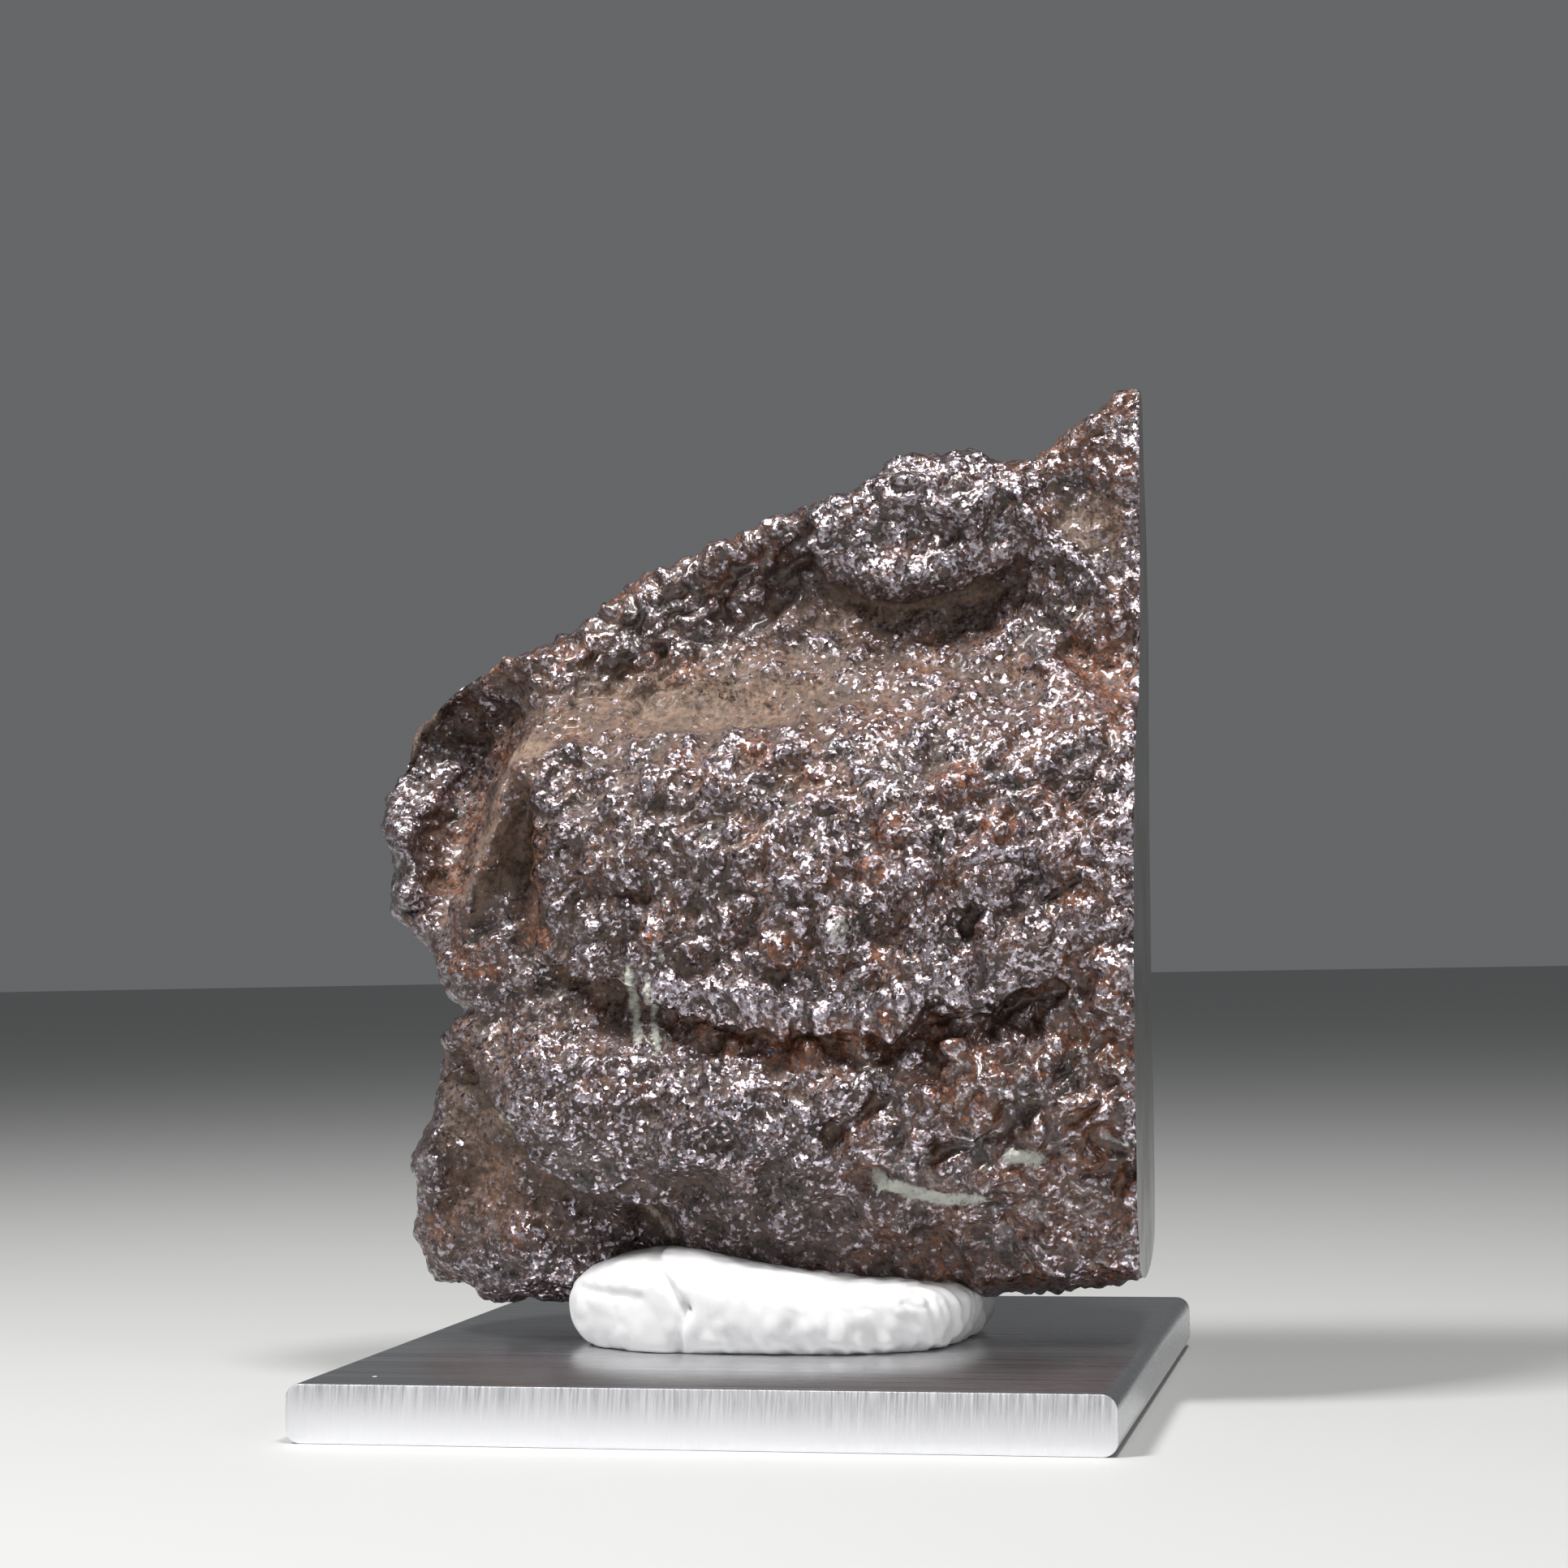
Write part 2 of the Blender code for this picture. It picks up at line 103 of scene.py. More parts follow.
def objectPlace(tree, turn=None):
    # Object coordinates, turned about the Y axis by so many degrees
    where = put(tree, "ShaderNodeTexCoord").outputs["Object"]
    if turn is None:
        return where
    inputs = {"Vector": where, "Rotation": (0.0, math.radians(turn), 0.0)}
    return put(tree, "ShaderNodeMapping", inputs).outputs[0]


def painted(tree, name):
    return put(tree, "ShaderNodeAttribute", attribute_name=name).outputs["Fac"]


def newMaterial(name):
    material = bpy.data.materials.new(name)
    material.use_nodes = True
    return material, material.node_tree, material.node_tree.nodes["Principled BSDF"]


def feed(tree, shader, **sockets):
    for name, value in sockets.items():
        fill(tree, shader.inputs[name.replace("_", " ")], value)


# Shared shader groups
def newGroup(name, inputs, outputs):
    # An input without a value is a vector that the material has to give
    group = bpy.data.node_groups.new(name, "ShaderNodeTree")
    for label, value in inputs.items():
        kind = "NodeSocketVector" if value is None else "NodeSocketFloat"
        socket = group.interface.new_socket(label, in_out="INPUT", socket_type=kind)
        if value is not None:
            socket.default_value = value
    for label, kind in outputs.items():
        group.interface.new_socket(label, in_out="OUTPUT", socket_type="NodeSocket" + kind)
    return group, group.nodes.new("NodeGroupInput").outputs, group.nodes.new("NodeGroupOutput").inputs


def buildGrainGroup():
    # Crystal-like grains: each one is tilted its own way, so that some catch the light
    group, given, out = newGroup(
        "tilted grains",
        {"Vector": None, "Size": 0.3, "Tilt": 0.5, "Normal": None},
        {"Normal": "Vector", "Shade": "Float"},
    )
    middle = (0.5, 0.5, 0.5)
    wobbleSize, wobbleReach = 0.4, 0.25
    wobble = put(group, "ShaderNodeTexNoise",
                 {"Vector": given["Vector"], "Scale": 1.0 / (wobbleSize * mm), "Detail": 1.0})
    shift = scaled(group, vectorCalc(group, "SUBTRACT", wobble.outputs["Color"], middle), wobbleReach * mm)
    where = vectorCalc(group, "ADD", given["Vector"], shift)
    scale = calc(group, "DIVIDE", 1.0 / mm, given["Size"])
    cells = put(group, "ShaderNodeTexVoronoi", {"Vector": where, "Scale": scale})
    tilt = scaled(group, vectorCalc(group, "SUBTRACT", cells.outputs["Color"], middle), given["Tilt"])
    leaning = vectorCalc(group, "NORMALIZE", vectorCalc(group, "ADD", given["Normal"], tilt))
    split = put(group, "ShaderNodeSeparateColor", {0: cells.outputs["Color"]})
    group.links.new(leaning, out["Normal"])
    group.links.new(split.outputs[0], out["Shade"])
    return group


def buildLineGroup():
    # Fine parallel lines, as a brush, a saw or a grinder leaves: long one way, thin the other
    group, given, out = newGroup(
        "fine lines",
        {"Vector": None, "Spacing": 0.2, "Length": 20.0},
        {"Lines": "Float"},
    )
    short = calc(group, "DIVIDE", 1.0 / mm, given["Spacing"])
    long = calc(group, "DIVIDE", 1.0 / mm, given["Length"])
    scale = put(group, "ShaderNodeCombineXYZ", {0: long, 1: short, 2: short}).outputs[0]
    where = vectorCalc(group, "MULTIPLY", given["Vector"], scale)
    lines = put(group, "ShaderNodeTexNoise", {"Vector": where, "Scale": 1.0, "Detail": 3.0, "Roughness": 0.7})
    group.links.new(lines.outputs["Fac"], out["Lines"])
    return group


def buildSpeckGroup():
    # Small separate specks, as lint or dust: 1 on a speck, 0 off it
    group, given, out = newGroup(
        "specks",
        {"Vector": None, "Spacing": 4.0, "Share": 0.3, "Size": 0.1},
        {"Specks": "Float"},
    )
    raggedness = {"Vector": given["Vector"], "Scale": 3500.0, "Detail": 1.0}
    scale = calc(group, "DIVIDE", 1.0 / mm, given["Spacing"])
    ragged = put(group, "ShaderNodeTexNoise", raggedness)
    cells = put(group, "ShaderNodeTexVoronoi", {"Vector": given["Vector"], "Scale": scale})
    radius = calc(group, "DIVIDE", given["Size"], given["Spacing"])
    radius = calc(group, "MULTIPLY", radius, calc(group, "MULTIPLY", ragged.outputs["Fac"], 2.0))
    near = calc(group, "LESS_THAN", cells.outputs["Distance"], radius)
    split = put(group, "ShaderNodeSeparateColor", {0: cells.outputs["Color"]})
    chosen = calc(group, "LESS_THAN", split.outputs[0], given["Share"])
    group.links.new(calc(group, "MULTIPLY", near, chosen), out["Specks"])
    return group


grainGroup = buildGrainGroup()
lineGroup = buildLineGroup()
speckGroup = buildSpeckGroup()


def grouped(tree, group, **inputs):
    return put(tree, "ShaderNodeGroup", inputs, node_tree=group).outputs


# Shape helpers
def smoothCurve(knots, x):
    xs, ys = np.array(knots, float).T
    slopes = np.gradient(ys, xs)
    i = np.clip(np.searchsorted(xs, x) - 1, 0, len(xs) - 2)
    run = xs[i + 1] - xs[i]
    t = np.clip((x - xs[i]) / run, 0.0, 1.0)
    start = (2 * t**3 - 3 * t**2 + 1) * ys[i] + (t**3 - 2 * t**2 + t) * run * slopes[i]
    end = (3 * t**2 - 2 * t**3) * ys[i + 1] + (t**3 - t**2) * run * slopes[i + 1]
    return start + end


def outlineAt(outline, t):
    points = np.array(outline, float)
    lengths = np.hypot(*np.diff(points, axis=0).T)
    travel = np.concatenate(([0.0], np.cumsum(lengths))) / lengths.sum()
    return (smoothCurve(np.column_stack((travel, points[:, 0])), t),
            smoothCurve(np.column_stack((travel, points[:, 1])), t))


def fromLine(points, across, up):
    # Distance from a line, its side (1 left, -1 right), how far along it, and the way to its right
    line = np.array(points, float)
    runs = np.diff(line, axis=0)
    lengths = np.hypot(runs[:, 0], runs[:, 1])
    rightWays = np.column_stack((runs[:, 1], -runs[:, 0])) / lengths[:, None]
    corners = np.vstack((rightWays[:1], (rightWays[:-1] + rightWays[1:]) / 2, rightWays[-1:]))
    nearest = np.full(across.shape, np.inf)
    side = np.zeros(across.shape)
    travel = np.zeros(across.shape)
    rightA = np.zeros(across.shape)
    rightU = np.zeros(across.shape)
    for i, (da, du) in enumerate(runs):
        t = np.clip(((across - line[i, 0]) * da + (up - line[i, 1]) * du) / lengths[i] ** 2, 0.0, 1.0)
        gapA = across - line[i, 0] - t * da
        gapU = up - line[i, 1] - t * du
        gap = np.hypot(gapA, gapU)
        closer = gap < nearest
        nearest = np.where(closer, gap, nearest)
        side = np.where(closer, np.sign(da * gapU - du * gapA), side)
        travel = np.where(closer, (i + t) / len(runs), travel)
        rightA = np.where(closer, corners[i, 0] * (1 - t) + corners[i + 1, 0] * t, rightA)
        rightU = np.where(closer, corners[i, 1] * (1 - t) + corners[i + 1, 1] * t, rightU)
    return nearest, side, travel, rightA, rightU


def endFade(travel, share=0.12):
    return np.clip(np.minimum(travel, 1.0 - travel) / share, 0.0, 1.0)


def spot(middle, half, turn, across, up):
    # 1 in the middle of an oval, falling off softly past its half sizes
    cos, sin = math.cos(math.radians(turn)), math.sin(math.radians(turn))
    da, du = across - middle[0], up - middle[1]
    far = ((da * cos + du * sin) / half[0]) ** 2 + ((du * cos - da * sin) / half[1]) ** 2
    return np.exp(-0.5 * far**1.25)


def noiseOf(points, where=None):
    # Soft lumps between about -1 and 1, only worked out where they are wanted
    values = np.zeros(len(points))
    chosen = np.arange(len(points)) if where is None else np.flatnonzero(where)
    values[chosen] = [noise.noise(tuple(point)) for point in points[chosen]]
    return values


def creasesOf(points, where=None):
    # Rounded lumps with sharp creases between them, about -0.4 to 0.6
    return np.abs(noiseOf(points, where)) * 2.0 - 0.4


def blockLattice(cells):
    # A closed box of cells with its corners at -1 and 1
    straight = 1e-3
    lattice = bmesh.new()
    bmesh.ops.create_cube(lattice, size=2.0)
    for axis, count in enumerate(cells):
        others = [i for i in range(3) if i != axis]
        parallel = []
        for edge in lattice.edges:
            run = edge.verts[1].co - edge.verts[0].co
            if abs(run[others[0]]) < straight and abs(run[others[1]]) < straight:
                parallel.append(edge)
        bmesh.ops.subdivide_edges(lattice, edges=parallel, cuts=count - 1)
    return lattice


def boxPoints(lattice, cells):
    # Where each vertex is in the box, snapped to whole cells
    steps = np.array(cells) / 2.0
    return np.round(np.array([vert.co for vert in lattice.verts]) * steps + steps) / steps - 1.0


def place(lattice, points):
    for vert, point in zip(lattice.verts, points * mm):
        vert.co = point


def normalsOf(lattice, points):
    place(lattice, points)
    lattice.normal_update()
    return np.array([vert.normal for vert in lattice.verts])


def asPiece(name, mesh, *materials):
    for material in materials:
        mesh.materials.append(material)
    piece = bpy.data.objects.new(name, mesh)
    bpy.context.scene.collection.objects.link(piece)
    return piece


# The stone's shape
stone = {
    "turn": 2.0,  # degrees about Z from the plate's front edge
    "cells": (212, 24, 230),  # across, deep, up
    "triangles": 190000,  # kept when the calm sides are thinned out
    "calm thinning": 8.0,
    "sawn plane": 20.2,  # the sawn side's distance from the middle at height 0
    "sawn lean": 0.02,  # how far it leans out per mm of height
    "left round": 2.2,
    "bottom round": 1.9,
    "top round": 0.9,
    "lip reach": (0.45, 1.1),  # how far a lip's overhang is felt: below, times its run, and above
    "lip fade": 0.04,  # share of the width by the sawn side where lips don't hang over
    "left outline": (
        (-19.9, 6.2), (-20.6, 7.6), (-20.9, 9.8), (-20.7, 11.2), (-21.0, 12.9), (-20.3, 14.2),
        (-19.3, 17.2), (-18.4, 19.6), (-17.0, 21.1), (-17.9, 22.3), (-19.2, 24.2), (-20.2, 25.7),
        (-21.7, 27.1), (-21.9, 29.0), (-22.3, 31.6), (-21.8, 33.8), (-20.9, 35.4), (-20.3, 37.2),
    ),
    "top outline": (
        (-20.3, 37.2), (-17.9, 39.5), (-15.1, 41.2), (-12.0, 42.2), (-9.7, 43.5), (-6.3, 45.8),
        (-3.9, 46.6), (-0.4, 48.2), (3.2, 49.2), (6.5, 50.6), (9.2, 51.9), (12.0, 52.0),
        (13.3, 51.3), (14.6, 51.2), (16.2, 51.8), (18.0, 53.1), (19.8, 54.4), (21.3, 54.8),
    ),
    "bottom outline": (
        (-19.9, 6.2), (-17.7, 6.0), (-17.0, 5.3), (-14.8, 5.0), (-11.7, 5.1), (-6.0, 4.8),
        (2.0, 4.7), (8.0, 5.1), (12.0, 5.4), (16.5, 5.8), (20.3, 6.2),
    ),
    "front by height": (
        (4.0, 2.6), (6.0, 3.6), (9.0, 5.7), (12.0, 6.9), (16.0, 7.6), (21.0, 7.9), (27.0, 8.3),
        (32.0, 7.9), (35.0, 6.8), (38.0, 4.6), (42.0, 2.9), (48.0, 2.5), (55.0, 2.3),
    ),
    "back by height": (
        (4.0, 6.0), (6.0, 8.2), (9.0, 9.2), (14.0, 8.9), (21.0, 7.2), (30.0, 5.8), (38.0, 5.4),
        (43.0, 5.0), (48.0, 3.2), (52.0, 0.9), (55.0, 0.0),
    ),
    "front by width": ((-22.0, 0.42), (-17.0, 0.66), (-11.0, 0.92), (-4.0, 1.0), (21.0, 1.0)),
    "back by width": ((-22.0, 0.45), (-15.0, 0.78), (-5.0, 1.0), (12.0, 1.06), (21.0, 1.0)),
    "rim by height": ((4.0, 1.5), (12.0, 0.8), (30.0, -0.6), (46.0, -0.8), (55.0, -1.2)),
}

# Swells and hollows: middle, half sizes, rise, turn in degrees
frontSwells = {
    "belly, right": ((9.0, 27.0), (10.0, 6.0), 0.6, -12),
    "belly, upper left": ((-5.5, 31.5), (5.5, 3.6), 0.8, 20),
    "broad hollow under the flap": ((11.0, 41.4), (7.0, 3.0), -1.1, -8),
    "flap": ((8.6, 48.0), (4.4, 2.4), 1.3, 14),
    "hollow left of the flap": ((-0.5, 43.8), (4.2, 2.0), -0.9, 25),
    "dusty valley": ((-4.0, 38.4), (7.0, 1.5), -1.3, 2),
    "shoulder beside the cavity": ((-11.6, 37.4), (1.5, 3.0), 1.7, 4),
    "thumbprint, upper": ((-17.0, 36.4), (2.5, 3.3), -3.6, -38),
    "thumbprint, lower": ((-17.6, 31.0), (2.1, 4.4), -3.6, -8),
    "groove right of the fin": ((-12.7, 30.0), (1.0, 3.6), -1.6, 4),
    "dark slope under the cavity": ((-17.0, 24.2), (3.2, 2.0), 0.8, -30),
    "lower shelf": ((-3.5, 16.0), (9.5, 2.4), 1.1, 0),
    "lower shelf, left end": ((-11.5, 17.4), (3.0, 2.2), 1.2, -20),
    "furrowed corner": ((14.0, 17.0), (6.0, 4.5), 0.7, 15),
    "hollow under the ledge, right": ((14.6, 20.4), (2.6, 1.4), -0.9, 10),
    "black knob": ((-19.7, 13.4), (1.0, 1.9), 1.7, 0),
    "bottom lobe": ((-13.3, 7.6), (2.7, 1.6), 1.7, -10),
    "scoop above the putty": ((-5.5, 9.6), (4.5, 1.7), -0.8, 5),
    "scoop at the corner": ((12.0, 9.0), (6.0, 1.9), -0.7, 4),
    "tip": ((20.6, 51.5), (1.6, 3.0), 0.5, 0),
    "dimple beside the tip": ((17.4, 48.4), (1.8, 2.2), -0.8, 0),
}

# Raised lines and grooves: points, half width, rise
frontRidges = {
    "rim along the top": (((-17.6, 38.7), (-11.5, 41.5), (-5.8, 45.2), (0.0, 47.6)), 0.7, 0.7),
    "left rim of the cavity": (((-19.4, 37.3), (-20.6, 33.0), (-20.6, 29.8), (-19.9, 26.9)), 0.9, 1.9),
    "fin": (((-11.8, 34.9), (-13.3, 34.3), (-13.7, 31.9), (-14.6, 29.6), (-16.0, 27.3), (-17.4, 26.2)),
            0.85, 2.5),
    "flap, left end": (((3.4, 48.6), (3.9, 47.0), (4.7, 45.8)), 0.6, 0.8),
    "flap, lip": (((4.6, 46.1), (6.4, 45.4), (8.2, 45.0), (10.0, 45.3), (12.0, 46.0)), 0.6, 0.5),
    "right of the flap": (((14.4, 50.4), (14.9, 48.6), (16.2, 46.6), (18.3, 44.8), (19.8, 42.9),
                           (20.1, 41.0)), 0.8, 1.0),
    "edge of the broad hollow": (((14.8, 41.6), (16.3, 39.4), (17.4, 36.8)), 1.0, 0.6),
    "valley to the sawn side": (((16.2, 40.4), (18.0, 39.8), (19.8, 38.6), (21.4, 36.4)), 1.0, -0.8),
    "great ledge, lip": (((-10.4, 25.2), (-6.6, 23.9), (-3.0, 22.8), (1.5, 21.7), (5.6, 21.4), (9.8, 22.4),
                          (14.0, 23.6)), 0.7, 0.5),
}

# Ledges: points (the drop is on the right when they are followed), drop, how
# soon it is reached, how far it takes to recover, how far the lip hangs over
frontLedges = {
    "flap": (((3.2, 47.8), (3.6, 46.6), (4.5, 45.5), (6.2, 44.8), (8.0, 44.4), (9.8, 44.6), (11.6, 45.1),
              (13.2, 45.8), (14.6, 46.8)), 2.3, 0.7, 2.8, 0.8),
    "great ledge": (((-12.4, 26.4), (-11.2, 25.1), (-9.6, 24.2), (-7.8, 23.5), (-6.2, 23.1), (-3.4, 22.2),
                     (-1.6, 21.3), (1.5, 20.9), (4.1, 20.6), (6.3, 20.6), (8.6, 21.1), (11.4, 22.0),
                     (14.5, 22.8), (16.4, 23.2), (18.2, 22.2)), 2.4, 0.8, 2.6, 0.7),
    "edge of the lower shelf": (((-16.2, 20.6), (-15.2, 19.0), (-14.5, 17.2), (-12.9, 15.9), (-12.5, 14.6),
                                 (-11.6, 12.8), (-10.2, 12.2), (-8.4, 11.5), (-6.2, 11.0), (-4.2, 11.0)),
                                2.6, 0.7, 9.0, 0.4),
}

backSwells = {
    "thumbprint, top": ((7.0, 43.0), (4.2, 2.6), -1.3, 20),
    "thumbprint, right": ((14.5, 34.5), (3.4, 4.4), -1.5, -10),
    "thumbprint, middle": ((2.0, 33.0), (5.4, 3.4), -1.7, 15),
    "thumbprint, left": ((-10.5, 33.5), (3.6, 4.6), -1.5, 0),
    "thumbprint, low left": ((-9.0, 19.0), (4.8, 3.6), -1.6, -20),
    "thumbprint, low middle": ((3.0, 19.5), (4.0, 4.6), -1.5, 10),
    "thumbprint, low right": ((14.0, 18.5), (4.4, 3.8), -1.4, 25),
    "scoop above the putty": ((3.0, 9.0), (6.5, 1.9), -0.9, 0),
    "swell, left": ((-15.5, 26.0), (3.0, 3.6), 1.0, 0),
    "swell, right": ((9.0, 27.0), (3.0, 2.6), 0.8, 0),
    "swell, low": ((-3.0, 12.0), (4.0, 2.4), 0.7, 0),
}
backRidges = {
    "saddle between thumbprints": (((-4.5, 38.5), (-4.0, 33.0), (-2.5, 26.5), (-3.0, 18.0)), 1.0, 0.8),
    "rim along the top": (((-16.0, 39.5), (-8.0, 43.4), (0.0, 47.2), (8.0, 50.4)), 0.8, 0.5),
}
backLedges = {
    "long ledge": (((-17.5, 27.5), (-10.0, 26.2), (-2.0, 25.4), (6.0, 24.0), (12.0, 24.6)),
                   1.3, 1.0, 3.4, 0.3),
}

# Wavy fields: middle, half sizes, spacing, stretch, turn of the long axis, height
frontFields = {
    "diagonal furrows of the lower corner": ((13.0, 16.5), (8.5, 5.5), 2.0, 2.0, 52, 2.2),
    "upright furrows of the belly": ((12.5, 27.0), (7.5, 7.0), 1.8, 2.0, 80, 1.3),
    "lumps of the belly, left": ((-3.0, 29.5), (9.5, 7.5), 1.9, 1.3, 30, 1.0),
    "bumps under the top rim": ((-3.5, 43.0), (9.5, 3.0), 1.5, 1.4, 60, 0.9),
    "lumps of the lower shelf": ((-4.0, 15.0), (11.0, 4.5), 1.8, 1.6, 0, 0.7),
    "lumps of the flap": ((9.0, 47.6), (6.0, 3.4), 1.4, 1.6, 15, 0.6),
}
backFields = {
    "lumps, upper": ((0.0, 36.0), (16.0, 10.0), 2.0, 1.4, 25, 0.7),
    "lumps, lower": ((2.0, 16.0), (16.0, 9.0), 2.0, 1.6, -15, 0.8),
}
lumpSeed = 11.0
tooFaint = 0.02  # below this share a pattern isn't worked out


def relief(across, up, swells, ridges, ledges, fields):
    total = np.zeros(across.shape)
    for middle, half, rise, turn in swells.values():
        total += rise * spot(middle, half, turn, across, up)
    for points, halfWidth, rise in ridges.values():
        gap, _, travel, _, _ = fromLine(points, across, up)
        total += rise * np.exp(-((gap / halfWidth) ** 2)) * endFade(travel)
    for points, drop, run, recovery, _ in ledges.values():
        gap, side, travel, _, _ = fromLine(points, across, up)
        below = np.where(side < 0, gap, 0.0)
        fall = 1.0 - np.exp(-((below / run) ** 2))
        total -= drop * fall * np.exp(-below / recovery) * endFade(travel)
    for middle, half, spacing, stretch, turn, height in fields.values():
        cos, sin = math.cos(math.radians(turn)), math.sin(math.radians(turn))
        mask = spot(middle, half, 0.0, across, up)
        longWay = (across * cos + up * sin) / (spacing * stretch)
        shortWay = (up * cos - across * sin) / spacing
        at = np.column_stack((longWay, shortWay, np.full(len(across), lumpSeed)))
        total += height * mask * noiseOf(at, mask > tooFaint)
    return total


def stoneForm(box):
    # Box points to the stone's main form: across, deep and up, and which points are on the sawn side
    s = (box[:, 0] + 1.0) / 2.0
    t = (box[:, 2] + 1.0) / 2.0
    angle = np.abs(box[:, 1]) * math.pi / 2.0
    inset = 1.0 - np.cos(angle)
    left, bottom, top = stone["left outline"], stone["bottom outline"], stone["top outline"]
    leftA, leftU = outlineAt(left, t)
    lowA, lowU = outlineAt(bottom, s)
    highA, highU = outlineAt(top, s)
    rightU = bottom[-1][1] + (top[-1][1] - bottom[-1][1]) * t
    rightA = stone["sawn plane"] + stone["sawn lean"] * rightU
    across = (1 - s) * leftA + s * rightA + (1 - t) * lowA + t * highA
    up = (1 - s) * leftU + s * rightU + (1 - t) * lowU + t * highU
    corners = (left[0], bottom[-1], top[0], top[-1])
    weights = ((1 - s) * (1 - t), s * (1 - t), (1 - s) * t, s * t)
    for (cornerA, cornerU), weight in zip(corners, weights):
        across -= cornerA * weight
        up -= cornerU * weight

    sideways = stone["left round"] * (1 - s)
    upwards = stone["bottom round"] * (1 - t) - stone["top round"] * t
    faceA, faceU = across + sideways, up + upwards
    across += sideways * inset
    up += upwards * inset
    onSaw = s > 1.0 - 1e-6
    across = np.where(onSaw, stone["sawn plane"] + stone["sawn lean"] * up, across)

    front = smoothCurve(stone["front by height"], faceU) * smoothCurve(stone["front by width"], faceA)
    front += relief(faceA, faceU, frontSwells, frontRidges, frontLedges, frontFields)
    back = smoothCurve(stone["back by height"], faceU) * smoothCurve(stone["back by width"], faceA)
    back += relief(faceA, faceU, backSwells, backRidges, backLedges, backFields)
    rim = smoothCurve(stone["rim by height"], faceU)
    face = np.where(box[:, 1] < 0, -front, back)
    deep = rim + (face - rim) * np.sin(angle)

    # Lips hang over the hollows below them
    reach = np.sin(angle) * np.clip((1.0 - s) / stone["lip fade"], 0.0, 1.0)
    reachBelow, reachAbove = stone["lip reach"]
    for ledges, isSide in ((frontLedges, box[:, 1] < 0), (backLedges, box[:, 1] > 0)):
        for points, _, run, _, hang in ledges.values():
            gap, side, travel, rightWayA, rightWayU = fromLine(points, faceA, faceU)
            width = np.where(side < 0, reachBelow * run, reachAbove)
            amount = hang * np.exp(-((gap / width) ** 2)) * endFade(travel) * reach * isSide
            across += rightWayA * amount
            up += rightWayU * amount
    return np.column_stack((across, deep, up)), faceA, faceU, onSaw


